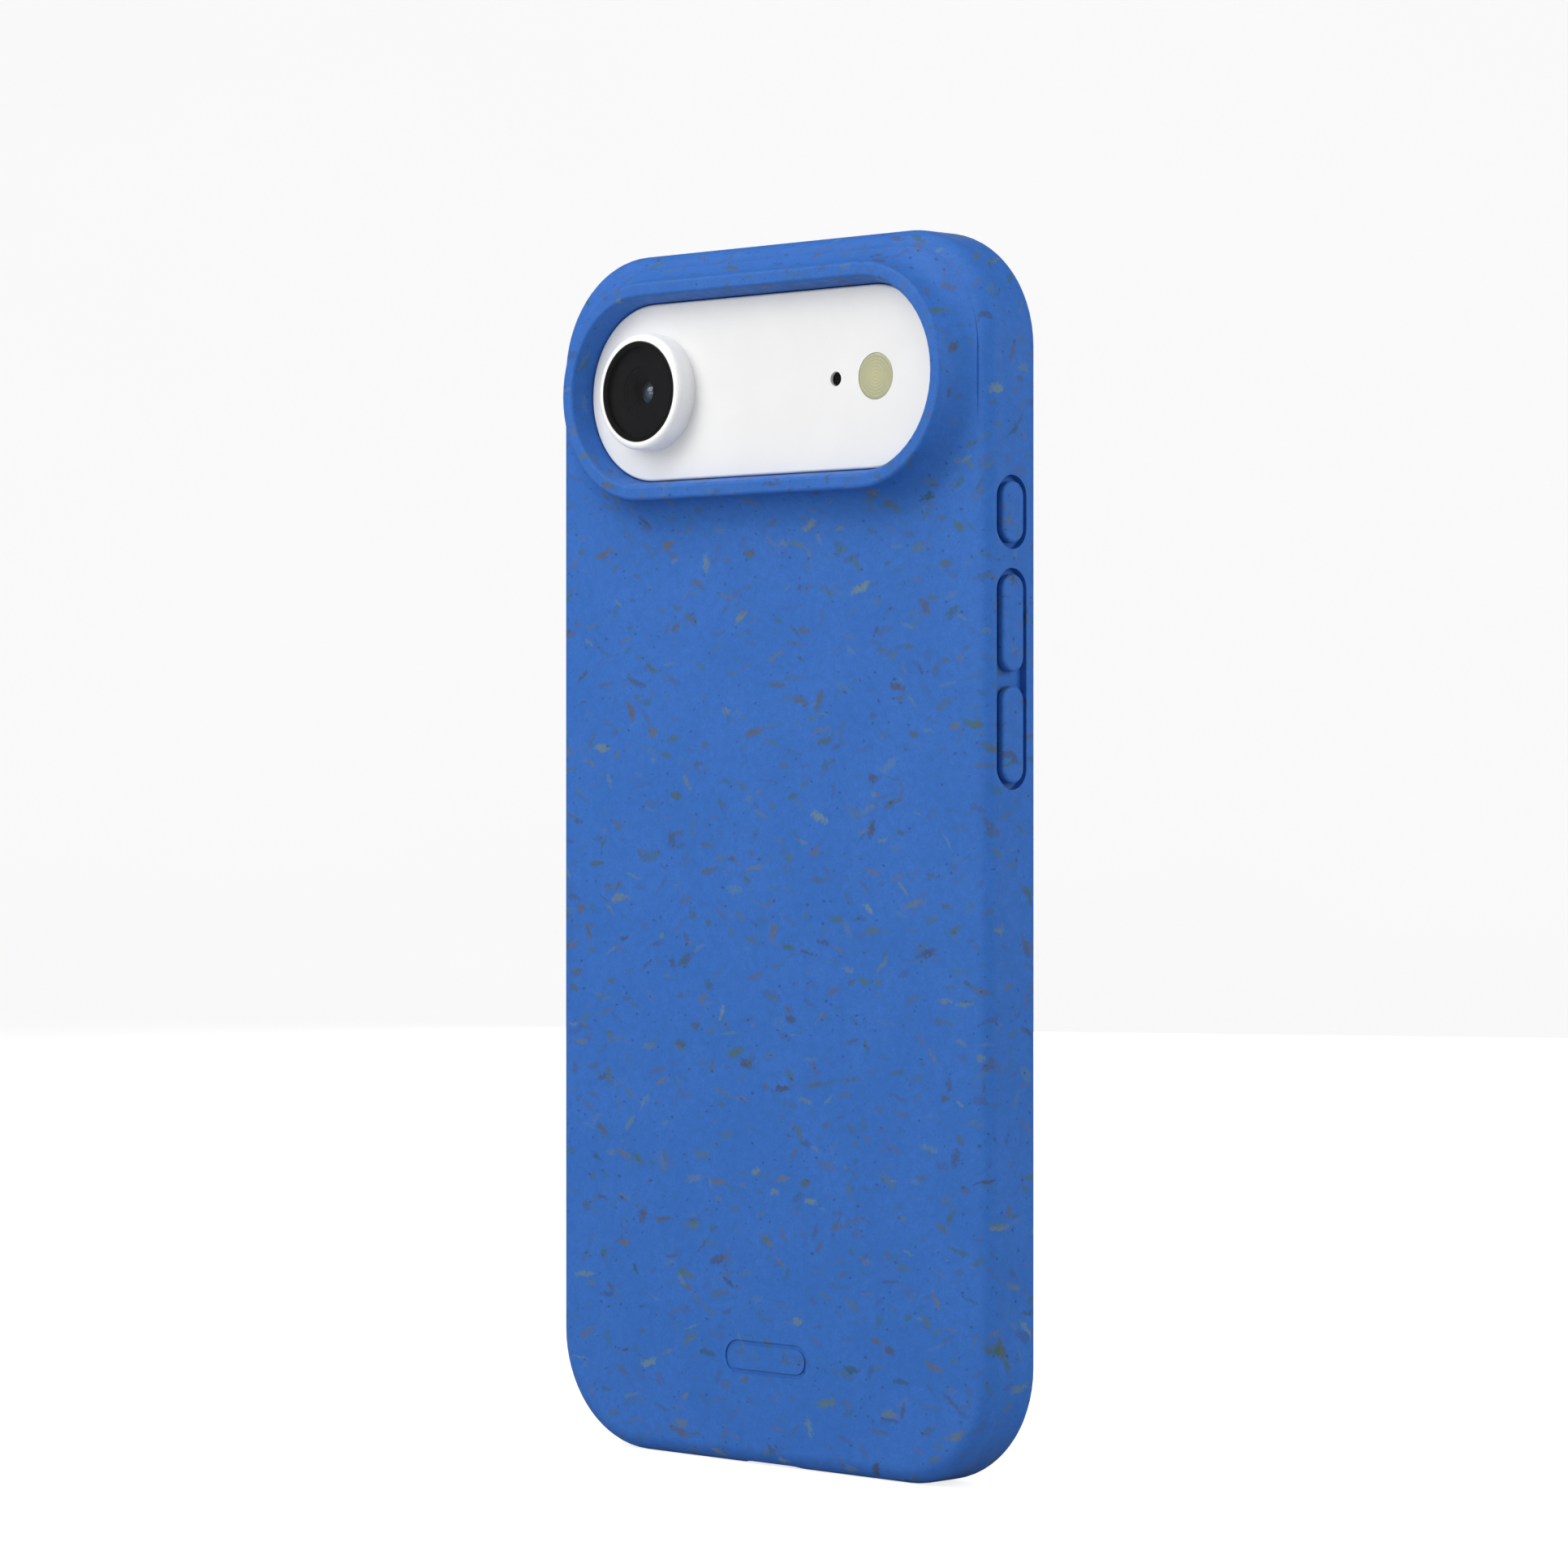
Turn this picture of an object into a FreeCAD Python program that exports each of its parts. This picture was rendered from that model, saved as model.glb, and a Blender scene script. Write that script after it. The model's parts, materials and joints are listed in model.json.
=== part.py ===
import FreeCAD, Part
import math
import os
from FreeCAD import Vector

# A slim phone in a soft speckled case. Millimetres. Z runs up the phone, Y out of its back, X to
# the side of the power button. The origin is under the middle of the bottom edge.

# Driving dimensions of the phone
PHONE_W = 74.7
PHONE_H = 156.2
PHONE_T = 5.64
PHONE_R = 13.4
BAND_WALL = 1.7
BAND_ROUND = 0.95
GLASS_INSET = 1.0
GLASS_T = 0.65
GLASS_ROUND = 0.3
BACK_GLASS_T = 0.6

# Driving dimensions of the case
WALL = 2.0
SLAB_T = 9.3
LIP_H = 4.1
BACK_WALL = 1.7
EDGE_ROUND = 2.3
FRONT_ROUND = 1.9
MOUTH_INSET = 0.9
MOUTH_FLARE = 0.3
MOUTH_FLARE_DEPTH = 0.5
CAVITY_ROUND = 0.9

# Camera bar, measured from the middle of the phone
BAR_Z_ABOVE_MID = 61.5
BAR_REACH = 20.0
BAR_R = 11.8
BAR_RISE = 1.0
RIM_OUTER_R = 14.5
RIM_INNER_R = 12.5

# Clearances and small features. A cut runs PAST its solid so that no skin is left.
PAST = 1.0
FIT = 0.05
SLIDE_FIT = 0.08
RIM_ROUND = 0.5
SEAT_FIT = 0.12
COVER_PROUD = 0.4
KEY_PROUD = 0.35

# Bottom edge: plug cut-out, microphone holes in two rows, and screws
PLUG_CUTOUT_W = 12.4
PLUG_CUTOUT_T = 6.4
PLUG_CUTOUT_R = 2.6
MIC_SLOT_W = 8.6
MIC_SLOT_T = 2.2
MIC_HOLES_X = 16.5
MIC_HOLE_COUNT = 3
MIC_HOLE_PITCH = 2.3
MIC_HOLE_R = 0.6
BOTTOM_SCREW_X = 8.6
SCREW_HEAD_R = 0.9
SCREW_SHANK_R = 0.55
SOCKET_LOBES = 5

# Generic pill-shaped mark low on the back
MARK_W = 15.0
MARK_T = 4.4
MARK_LINE = 0.6
MARK_DEPTH = 0.2

CASE_W = PHONE_W + 2 * WALL
CASE_H = PHONE_H + 2 * WALL
CASE_R = PHONE_R + WALL
MID_Z = CASE_H / 2
PHONE_BOTTOM_Z = WALL
PHONE_TOP_Z = WALL + PHONE_H
CASE_FRONT_Y = -(SLAB_T + LIP_H) / 2
CASE_BACK_Y = CASE_FRONT_Y + SLAB_T
RIM_Y = CASE_BACK_Y + LIP_H
PHONE_BACK_Y = CASE_BACK_Y - BACK_WALL - FIT
PHONE_FRONT_Y = PHONE_BACK_Y - PHONE_T
PHONE_MID_Y = (PHONE_BACK_Y + PHONE_FRONT_Y) / 2
BAR_Z = MID_Z + BAR_Z_ABOVE_MID
MARK_Z = MID_Z - 66.0
BAR_Y = CASE_BACK_Y + BAR_RISE

# Depth levels inside the phone, from the display to the back
GLASS_BACK_Y = PHONE_FRONT_Y + GLASS_T
GASKET_T = 0.1
SHELF_FRONT_Y = GLASS_BACK_Y + GASKET_T
OLED_T = 0.7
OLED_BACK_Y = GLASS_BACK_Y + OLED_T
PLATE_FRONT_Y = OLED_BACK_Y + 0.12
PLATE_T = 0.3
PLATE_BACK_Y = PLATE_FRONT_Y + PLATE_T
CELL_FRONT_Y = PLATE_BACK_Y + 0.08
CELL_T = 2.6
CELL_BACK_Y = CELL_FRONT_Y + CELL_T
BACK_INNER_Y = PHONE_BACK_Y - BACK_GLASS_T
SHELF_BACK_Y = BACK_INNER_Y - GASKET_T
COIL_BACK_Y = BACK_INNER_Y - FIT
COIL_T = 0.42
BOARD_FRONT_Y = 0.0
BOARD_T = 0.7
BOARD_BACK_Y = BOARD_FRONT_Y + BOARD_T
BAR_CEILING_Y = BAR_Y - 0.8

# Widths across the phone
HALF_PHONE = PHONE_W / 2
INNER_HALF = HALF_PHONE - BAND_WALL
INNER_BOTTOM_Z = PHONE_BOTTOM_Z + BAND_WALL
INNER_TOP_Z = PHONE_TOP_Z - BAND_WALL

# Antenna splits in the band: two on each long side, one pair on the top and one on the bottom
SPLIT_W = 1.2
SPLIT_DEPTH = 0.9
SPLIT_SIDE_Z = (PHONE_BOTTOM_Z + 17.5, PHONE_TOP_Z - 17.5)
SPLIT_END_X = 25.5

# Side controls: height of the middle, length of the case cover, length of the phone's own key
ACTION = (MID_Z + 43.6, 7.8, 6.6)
VOLUME_UP = (MID_Z + 29.6, 12.3, 10.6)
VOLUME_DOWN = (MID_Z + 15.5, 12.3, 10.6)
POWER = (MID_Z + 24.0, 17.6, 15.6)
CAMERA_CONTROL = (MID_Z - 12.0, 0.0, 18.6)
LEFT_CONTROLS = (ACTION, VOLUME_UP, VOLUME_DOWN)
RIGHT_CONTROLS = (POWER, CAMERA_CONTROL)
COVER_WIDTH = 3.8
COVER_Y = CASE_FRONT_Y + 5.25
GROOVE = 0.8
POCKET_DEPTH = 1.07
POCKET_FLOOR_X = CASE_W / 2 - POCKET_DEPTH
COVER_UNDER_X = POCKET_FLOOR_X + 0.35
KEY_WIDTH = 2.6
PLUNGER_LENGTH = 2.6
COVER_ROUND = 0.45
KEY_ROUND = 0.25
RELIEF = 0.4
SCOOP_R = 60.0
SCOOP_DEPTH = 1.1
KEY_TOP_X = HALF_PHONE + KEY_PROUD
KEY_BACK_X = HALF_PHONE - 0.9
RECESS_FLOOR_X = HALF_PHONE - 1.3
STEM_WIDTH = 1.2
PLUNGER_TIP_X = INNER_HALF - 0.25
DOME_H = 0.43
DOME_FOOT = 1.0
DOME_TOP = 0.5
DOME_SHEET = 0.1
SWITCH_X = PLUNGER_TIP_X - 0.02 - DOME_H
SWITCH_T = 0.45
FLEX_T = 0.12

# Rear camera and its neighbours on the bar
BAR_WALL = 1.1
BAR_EDGE_ROUND = 0.35
FLANGE = 1.0
LENS_X = 19.9
LENS_RING_R = 7.78
LENS_RING_ROUND = 0.85
LENS_SKIRT_R = 7.0
LENS_BORE_R = 6.1
LENS_WINDOW_R = 6.7
LENS_WINDOW_T = 0.68
LENS_TOP_Y = RIM_Y - 0.1
SHROUD_TOP_Y = LENS_TOP_Y - 0.7
SHROUD_T = 0.55
SHROUD_STEPS = 4
SHROUD_MOUTH_R = 3.4
SHROUD_STEP = 0.5
SHROUD_HOLE_R = 1.7
MIC_X = -13.5
MIC_R = 0.95
FLASH_X = -20.5
FLASH_R = 3.02
FLASH_T = 0.65
FLASH_RINGS = 4
MESH_HOLE_R = 0.12
MESH_T = 0.2
CAMERA_HALF = 7.2
CAMERA_WALL = 0.35
CAMERA_FLOOR_Y = PLATE_BACK_Y + 0.06
CAMERA_TOP_Y = BAR_CEILING_Y - 0.1
BARREL_R = 4.2
BARREL_FOOT_Y = -1.25
BARREL_TOP_Y = LENS_TOP_Y - 1.65
BARREL_WALL = 0.35
LENS_COUNT = 4
LENS_PITCH = 1.25
FRONT_LENS_R = 1.28
FOCUS_COIL_Y = (-0.6, 1.1)
MAGNET_GAP = (5.25, 6.8)
SENSOR_FRAME_HALF = 6.45
CARRIER_HALF = 5.5
CARRIER_TOP = 0.4
SENSOR_Y = CAMERA_FLOOR_Y + 0.35

# Battery, main board with its shield can, and the threaded posts under the board's screws
CELL_HALF_W = 32.2
CELL_Z = (22.5, 128.0)
BOARD_END_X = 11.4
CAN = (-10.6, 8.2, BAR_Z - 8.4, BAR_Z + 7.2)
STANDOFFS = ((-26.0, BAR_Z - 5.5), (-26.0, BAR_Z + 5.5), (9.8, BAR_Z - 8.0), (0.3, BAR_Z + 9.0))
POST_R = 1.1
BOARD_SCREW_R = 0.5
CELL_CORNER_R = 2.5
CELL_ROUND = 0.7
STRIP_PITCH = 20.0
BATTERY_TAB_X = -18.0
CAN_H = 1.35
CAN_WALL = 0.15
DISPLAY_FLEX_X = 18.0
DISPLAY_FLEX_W = 8.0
DISPLAY_FLEX_Z = BAR_Z - 8.1

# Chips, each as left, right, bottom and top edge from the bar's middle, and height
BACK_CHIPS = (
    (-9.2, 1.6, -5.2, 5.6, 1.0),
    (3.0, 7.2, -6.6, -0.6, 0.8),
    (3.0, 7.2, 1.0, 6.6, 0.8),
)
FRONT_CHIPS = (
    (-12.0, -2.0, -9.0, 1.0, 0.9),
    (0.0, 9.0, -5.0, 1.0, 0.9),
)
SMALL_CHIPS = 5
SMALL_CHIP = 1.2
SMALL_CHIP_PITCH = 2.2
SMALL_CHIP_Z = -7.6

# Slots that lighten the foot of the mid plate, and its notch round the port
LIGHTENING_SLOTS = 4
LIGHTENING_PITCH = 15.0
LIGHTENING_W = 7.0
LIGHTENING_H = 3.0
LIGHTENING_Z = PHONE_BOTTOM_Z + 17.2
PORT_NOTCH_HALF = 4.7

# Front camera, face sensor and earpiece, at the top of the display
ISLAND_Z = PHONE_TOP_Z - 8.7
FRONT_CAMERA_X = 6.6
FRONT_CAMERA_HALF = 2.9
FACE_SENSOR_X = -6.4
SNOUT_R = 2.2
SNOUT_TIP_Y = GLASS_BACK_Y + 0.1
SLOT_HALF = 6.0
SLOT_T = 0.9
SLOT_Z = PHONE_TOP_Z - 1.75
SPEAKER_HALF = 9.5
SPEAKER_Z = (ISLAND_Z + 3.2, INNER_TOP_Z - 0.1)
SPEAKER_BACK_Y = BACK_INNER_Y - 0.35
SPEAKER_LID = 0.3

# Charging port: the opening a standard plug enters
PORT_OPENING_W = 8.34
PORT_OPENING_T = 2.56
PORT_WALL = 0.3
PORT_DEPTH = 6.5
PORT_Y = PHONE_MID_Y + 0.25
TONGUE_W = 6.69
TONGUE_T = 0.7
TONGUE_L = 4.45
TONGUE_BASE = 1.0
CONTACTS_PER_FACE = 12
CONTACT_PITCH = 0.5

# Haptic engine in the bottom corner
HAPTIC_X = (-29.0, -9.0)
HAPTIC_Y = (CELL_FRONT_Y, SHELF_BACK_Y - 0.25)
HAPTIC_Z = (7.5, 15.5)
HAPTIC_WALL = 0.25
HAPTIC_TRAVEL = 0.6
HAPTIC_END_GAP = 2.4

# Charging coil, and the charger's magnets round it, behind the back glass
MAGNET_Z = MID_Z - 8.0
MAGNET_R = 27.4
MAGNET_W = 3.2
MAGNET_COUNT = 18
ALIGN_BAR_DROP = 43.0
COIL_R = 21.5
COIL_TURNS = 9
COIL_PITCH = 1.3
COIL_WIRE_W = 1.0


def rounded_face(width, height, radius, lift):
    """Flat face with a rounded-rectangle outline. lift turns outline coordinates into a point."""
    edges = []
    reach_a = width / 2 - radius
    reach_b = height / 2 - radius
    centres = ((reach_a, reach_b), (-reach_a, reach_b), (-reach_a, -reach_b), (reach_a, -reach_b))
    arcs = []
    for turn, (a, b) in enumerate(centres):
        angles = [math.radians(90 * turn + step) for step in (0, 45, 90)]
        arcs.append([lift(a + radius * math.cos(t), b + radius * math.sin(t)) for t in angles])
    for turn, points in enumerate(arcs):
        edges.append(Part.Arc(*points).toShape())
        following = arcs[(turn + 1) % len(arcs)][0]
        if points[2].distanceToPoint(following) > 1e-6:
            edges.append(Part.makeLine(points[2], following))
    return Part.Face(Part.Wire(edges))


def plate_y(width, height, radius, y0, y1, x=0.0, z=MID_Z):
    """Rounded plate seen from the back, from depth y0 to y1."""
    face = rounded_face(width, height, radius, lambda a, b: Vector(x + a, y0, z + b))
    return face.extrude(Vector(0, y1 - y0, 0))


def plate_x(width, height, radius, x0, x1, y, z):
    """Rounded plate seen from the side, width along Y and height along Z."""
    face = rounded_face(width, height, radius, lambda a, b: Vector(x0, y + a, z + b))
    return face.extrude(Vector(x1 - x0, 0, 0))


def plate_z(width, height, radius, z0, z1, x=0.0, y=PHONE_MID_Y):
    """Rounded plate seen from below, width along X and height along Y."""
    face = rounded_face(width, height, radius, lambda a, b: Vector(x + a, y + b, z0))
    return face.extrude(Vector(0, 0, z1 - z0))


def block(x0, x1, y0, y1, z0, z1):
    return Part.makeBox(x1 - x0, y1 - y0, z1 - z0, Vector(x0, y0, z0))


def disc(radius, y0, y1, x, z):
    return Part.makeCylinder(radius, y1 - y0, Vector(x, y0, z), Vector(0, 1, 0))


def ring(outer, inner, y0, y1, x, z):
    return disc(outer, y0, y1, x, z).cut(disc(inner, y0, y1, x, z))


def phone_outline(inset, y0, y1):
    """Plate of the phone's outline, moved in by inset."""
    return plate_y(PHONE_W - 2 * inset, PHONE_H - 2 * inset, PHONE_R - inset, y0, y1)


def edges_at_y(shape, y):
    return [e for e in shape.Edges if abs(e.BoundBox.YMin - y) < 1e-4 and abs(e.BoundBox.YMax - y) < 1e-4]


def edges_at_x(shape, x):
    return [e for e in shape.Edges if abs(e.BoundBox.XMin - x) < 1e-4 and abs(e.BoundBox.XMax - x) < 1e-4]


def mirrored(shape):
    """The same shape on the other side of the phone."""
    return shape.mirror(Vector(0, 0, 0), Vector(1, 0, 0))


def whole(shape):
    """One clean solid from a fused shape."""
    clean = shape.removeSplitter()
    return clean.Solids[0] if len(clean.Solids) == 1 else clean


def bar_turned(edges):
    """Solid with one cross-section all round the camera bar. edges close a face in the bar's middle plane."""
    face = Part.Face(Part.Wire(edges))
    face.translate(Vector(BAR_REACH, 0, BAR_Z))
    upper = face.extrude(Vector(-2 * BAR_REACH, 0, 0))
    lower = upper.mirror(Vector(0, 0, BAR_Z), Vector(0, 0, 1))
    right = face.revolve(Vector(BAR_REACH, 0, BAR_Z), Vector(0, 1, 0), 180)
    return whole(upper.fuse([lower, right, mirrored(right)]))


def section_point(r, y):
    return Vector(0, y, r)


def section_line(start, end):
    return Part.makeLine(section_point(*start), section_point(*end))


def section_arc(centre, radius, from_angle, to_angle):
    """Arc in the bar's cross-section. Angles in degrees from the outward direction towards the back."""
    points = []
    for angle in (from_angle, (from_angle + to_angle) / 2, to_angle):
        turn = math.radians(angle)
        points.append(section_point(centre[0] + radius * math.cos(turn), centre[1] + radius * math.sin(turn)))
    return Part.Arc(*points).toShape()


def bar_pill(radius, y0, y1):
    """Plain pill over the whole camera bar."""
    return plate_y(2 * (BAR_REACH + radius), 2 * radius, radius, y0, y1, 0.0, BAR_Z)


def case_hump():
    """The raised surround of the camera bar: a hollow-curved flank that dies out in the case's back."""
    base_r = RIM_OUTER_R + LIP_H
    root_y = CASE_BACK_Y - BACK_WALL / 2
    fade = math.degrees(math.acos(RIM_ROUND / LIP_H))
    flank = section_arc((base_r, RIM_Y), LIP_H, 270, 270 - fade)
    flank_top = flank.Vertexes[-1].Point
    rim_centre = (flank_top.z - RIM_ROUND, RIM_Y - RIM_ROUND)
    rim_inner = (rim_centre[0], RIM_Y)
    section = [
        section_line((0, root_y), (base_r, root_y)),
        section_line((base_r, root_y), (base_r, CASE_BACK_Y)),
        flank,
        section_arc(rim_centre, RIM_ROUND, 0, 90),
        section_line(rim_inner, (0, RIM_Y)),
        section_line((0, RIM_Y), (0, root_y)),
    ]
    envelope_inset = EDGE_ROUND - 0.1
    envelope = plate_y(
        CASE_W - 2 * envelope_inset, CASE_H - 2 * envelope_inset, CASE_R - envelope_inset,
        root_y - PAST, RIM_Y + PAST,
    )
    return bar_turned(section).common(envelope)


def bar_opening():
    """Opening in the case round the camera bar, wider at the rim, with a rounded mouth."""
    seat_r = BAR_R + SEAT_FIT
    floor_y = PHONE_BACK_Y - PAST
    sky_y = RIM_Y + PAST
    round_centre = (RIM_INNER_R + RIM_ROUND, RIM_Y - RIM_ROUND)
    section = [
        section_line((0, floor_y), (seat_r, floor_y)),
        section_line((seat_r, floor_y), (seat_r, BAR_Y)),
        section_line((seat_r, BAR_Y), (RIM_INNER_R, round_centre[1])),
        section_arc(round_centre, RIM_ROUND, 180, 90),
        section_line((round_centre[0], RIM_Y), (round_centre[0], sky_y)),
        section_line((round_centre[0], sky_y), (0, sky_y)),
        section_line((0, sky_y), (0, floor_y)),
    ]
    return bar_turned(section)


def side_pocket(bottom_z, top_z):
    """Pocket in the right-hand wall round one or two button covers."""
    width = COVER_WIDTH + 2 * GROOVE
    height = top_z - bottom_z
    return plate_x(
        width, height, width / 2, POCKET_FLOOR_X, CASE_W / 2 + PAST, COVER_Y, (bottom_z + top_z) / 2
    )


def pocket_ends(lower, upper):
    """Bottom and top of the pocket that surrounds the given side controls."""
    return (
        lower[0] - lower[1] / 2 - GROOVE,
        upper[0] + upper[1] / 2 + GROOVE,
    )


def web_cuts(control):
    """Room for the phone's key under the web, and the slot for the cover's stem."""
    z, cover_length, key_length = control
    relief = plate_x(KEY_WIDTH + 2 * RELIEF, key_length + 2 * RELIEF, KEY_WIDTH / 2 + RELIEF,
                     HALF_PHONE - PAST, KEY_TOP_X + 2 * FIT, PHONE_MID_Y, z)
    gap = 3 * FIT
    slot = plate_x(STEM_WIDTH + 2 * gap, stem_length(cover_length) + 2 * gap, STEM_WIDTH / 2 + gap,
                   HALF_PHONE - PAST, POCKET_FLOOR_X + PAST, PHONE_MID_Y, z)
    return relief.fuse(slot)


def stem_length(cover_length):
    """Length of the stem under a button cover, set in from the cover's round ends."""
    return cover_length - 4.0


def case_shell():
    slab = plate_y(CASE_W, CASE_H, CASE_R, CASE_FRONT_Y, CASE_BACK_Y)
    slab = slab.makeFillet(EDGE_ROUND, edges_at_y(slab, CASE_BACK_Y))
    slab = slab.makeFillet(FRONT_ROUND, edges_at_y(slab, CASE_FRONT_Y))
    shell = slab.fuse(case_hump())

    cavity_front = PHONE_FRONT_Y - FIT
    cavity = phone_outline(-FIT, cavity_front, PHONE_BACK_Y + FIT)
    cavity = cavity.makeFillet(CAVITY_ROUND, edges_at_y(cavity, PHONE_BACK_Y + FIT))
    mouth = phone_outline(MOUTH_INSET, CASE_FRONT_Y - PAST, cavity_front + PAST / 2)
    flare_y = CASE_FRONT_Y + MOUTH_FLARE_DEPTH
    flare = phone_outline(MOUTH_INSET - MOUTH_FLARE, CASE_FRONT_Y - PAST, flare_y)
    flare = flare.makeFillet(0.93 * MOUTH_FLARE, edges_at_y(flare, flare_y))
    shell = shell.cut([cavity, mouth, flare, bar_opening()])

    shell = shell.cut(side_cuts())
    shell = shell.cut(bottom_cuts())
    return whole(shell.cut(back_mark()))


def back_mark():
    """Shallow groove in the outline of a pill."""
    outer = mark_plate(MARK_W, MARK_T)
    island = mark_plate(MARK_W - 2 * MARK_LINE, MARK_T - 2 * MARK_LINE)
    return outer.cut(island)


def mark_plate(width, height):
    return plate_y(width, height, height / 2, CASE_BACK_Y - MARK_DEPTH, CASE_BACK_Y + PAST, 0.0, MARK_Z)


def side_cuts():
    """Button pockets on both sides and the open slot for the camera control."""
    left = [side_pocket(*pocket_ends(ACTION, ACTION)), side_pocket(*pocket_ends(VOLUME_DOWN, VOLUME_UP))]
    left += [web_cuts(control) for control in (ACTION, VOLUME_UP, VOLUME_DOWN)]
    right = [side_pocket(*pocket_ends(POWER, POWER)), web_cuts(POWER), camera_control_slot()]
    return [mirrored(tool) for tool in left] + right


def camera_control_slot():
    """Open slot over the camera control, with a shallow finger scoop round it."""
    z, _, key_length = CAMERA_CONTROL
    outside_x = CASE_W / 2 + PAST
    slot_w = KEY_WIDTH + 2.0
    slot = plate_x(slot_w, key_length + 3.0, slot_w / 2, HALF_PHONE - PAST, outside_x, PHONE_MID_Y, z)
    scoop = Part.makeSphere(SCOOP_R, Vector(CASE_W / 2 + SCOOP_R - SCOOP_DEPTH, PHONE_MID_Y, z))
    scoop_w = slot_w + 1.6
    limit = plate_x(scoop_w, key_length + 6.0, scoop_w / 2, HALF_PHONE, outside_x, PHONE_MID_Y, z)
    return slot.fuse(scoop.common(limit))


def bottom_cuts():
    """Openings in the bottom wall for the plug and the microphones."""
    top_z = PHONE_BOTTOM_Z + PAST / 2
    cuts = [plate_z(PLUG_CUTOUT_W, PLUG_CUTOUT_T, PLUG_CUTOUT_R, -PAST, top_z, 0.0, PORT_Y)]
    for side in (-1, 1):
        cuts.append(plate_z(MIC_SLOT_W, MIC_SLOT_T, MIC_SLOT_T / 2, -PAST, top_z, side * MIC_HOLES_X))
    return cuts


def mic_hole_places():
    first = -(MIC_HOLE_COUNT - 1) / 2
    return [
        side * MIC_HOLES_X + (first + n) * MIC_HOLE_PITCH
        for side in (-1, 1)
        for n in range(MIC_HOLE_COUNT)
    ]


def case_cover(control):
    """Button cover of the case: a rounded cap with a stem that reaches the phone's key."""
    z, length, _ = control
    top_x = CASE_W / 2 + COVER_PROUD
    cap = plate_x(COVER_WIDTH, length, COVER_WIDTH / 2, COVER_UNDER_X, top_x, COVER_Y, z)
    cap = cap.makeFillet(COVER_ROUND, edges_at_x(cap, top_x))
    stem = plate_x(STEM_WIDTH, stem_length(length), STEM_WIDTH / 2,
                   KEY_TOP_X, COVER_UNDER_X + PAST / 5, PHONE_MID_Y, z)
    return whole(cap.fuse(stem))


def band_key(control):
    """Side key of the phone: a rounded cap in the band's recess, with a plunger to the switch inside."""
    z, _, length = control
    cap = plate_x(KEY_WIDTH, length, KEY_WIDTH / 2, KEY_BACK_X, KEY_TOP_X, PHONE_MID_Y, z)
    cap = cap.makeFillet(KEY_ROUND, edges_at_x(cap, KEY_TOP_X))
    return whole(cap.fuse(plunger(z)))


def plunger(z):
    """Pin from the back of a key through the band to the switch."""
    return plate_x(STEM_WIDTH, PLUNGER_LENGTH, STEM_WIDTH / 2,
                   PLUNGER_TIP_X, KEY_BACK_X + 2 * FIT, PHONE_MID_Y, z)


def camera_control_key():
    """Camera control: a flush sapphire bar with its plunger."""
    z, _, length = CAMERA_CONTROL
    top_x = HALF_PHONE - FIT
    cap = plate_x(KEY_WIDTH, length, KEY_WIDTH / 2, KEY_BACK_X, top_x, PHONE_MID_Y, z)
    cap = cap.makeFillet(0.8 * KEY_ROUND, edges_at_x(cap, top_x))
    return whole(cap.fuse(plunger(z)))


def key_recess(control):
    """Recess in the band for a key and the slot for its plunger."""
    z, _, length = control
    recess = plate_x(KEY_WIDTH + 2 * SLIDE_FIT, length + 2 * SLIDE_FIT, KEY_WIDTH / 2 + SLIDE_FIT,
                     RECESS_FLOOR_X, HALF_PHONE + PAST, PHONE_MID_Y, z)
    slot = plate_x(STEM_WIDTH + 2 * SLIDE_FIT, PLUNGER_LENGTH + 2 * SLIDE_FIT, STEM_WIDTH / 2 + SLIDE_FIT,
                   INNER_HALF - PAST, HALF_PHONE, PHONE_MID_Y, z)
    return recess.fuse(slot)


def pyramid_stub(foot_half, top_half, height, z):
    """Square pyramid with its tip cut off, standing on a switch."""
    wires = []
    for half, x in ((foot_half, SWITCH_X), (top_half, SWITCH_X + height)):
        corners = [
            Vector(x, PHONE_MID_Y + side_y * half, z + side_z * half)
            for side_y, side_z in ((-1, -1), (1, -1), (1, 1), (-1, 1), (-1, -1))
        ]
        wires.append(Part.makePolygon(corners))
    return Part.makeLoft(wires, True, True)


def switch_dome(control):
    """Snap dome under a plunger: a pressed metal cap on four legs."""
    z = control[0]
    cap = pyramid_stub(DOME_FOOT, DOME_TOP, DOME_H, z)
    hollow = pyramid_stub(DOME_FOOT - 1.4 * DOME_SHEET, DOME_TOP - 0.6 * DOME_SHEET, DOME_H - DOME_SHEET, z)
    corners = []
    for side_y in (-1, 1):
        for side_z in (-1, 1):
            corner = Part.makeBox(2 * PAST, PAST, PAST, Vector(SWITCH_X - PAST, -PAST / 2, -PAST / 2))
            offset = DOME_TOP + PAST / 2
            corner.translate(Vector(0, PHONE_MID_Y + side_y * offset, z + side_z * offset))
            corners.append(corner)
    return whole(cap.cut([hollow] + corners))


def switch_base(control):
    """Switch housing under a dome with its piece of side flex."""
    z = control[0]
    base_x = SWITCH_X - SWITCH_T
    base = plate_x(2 * DOME_FOOT + 0.04, 3.8, 0.5, base_x, SWITCH_X, PHONE_MID_Y, z)
    flex = plate_x(2 * DOME_FOOT, 9.0, 0.6, base_x - FLEX_T, base_x, PHONE_MID_Y, z)
    return base.fuse(flex)


def on_both_sides(make):
    """One shape per side control, in place."""
    shapes = [mirrored(make(control)) for control in LEFT_CONTROLS]
    shapes += [make(control) for control in RIGHT_CONTROLS]
    return shapes


def band_blank():
    """The band's outer form, before its inside is cut."""
    front_y = PHONE_FRONT_Y + 2 * FIT
    back_y = PHONE_BACK_Y - 2 * FIT
    blank = phone_outline(0, front_y, back_y)
    return blank.makeFillet(BAND_ROUND, edges_at_y(blank, front_y) + edges_at_y(blank, back_y))


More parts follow.
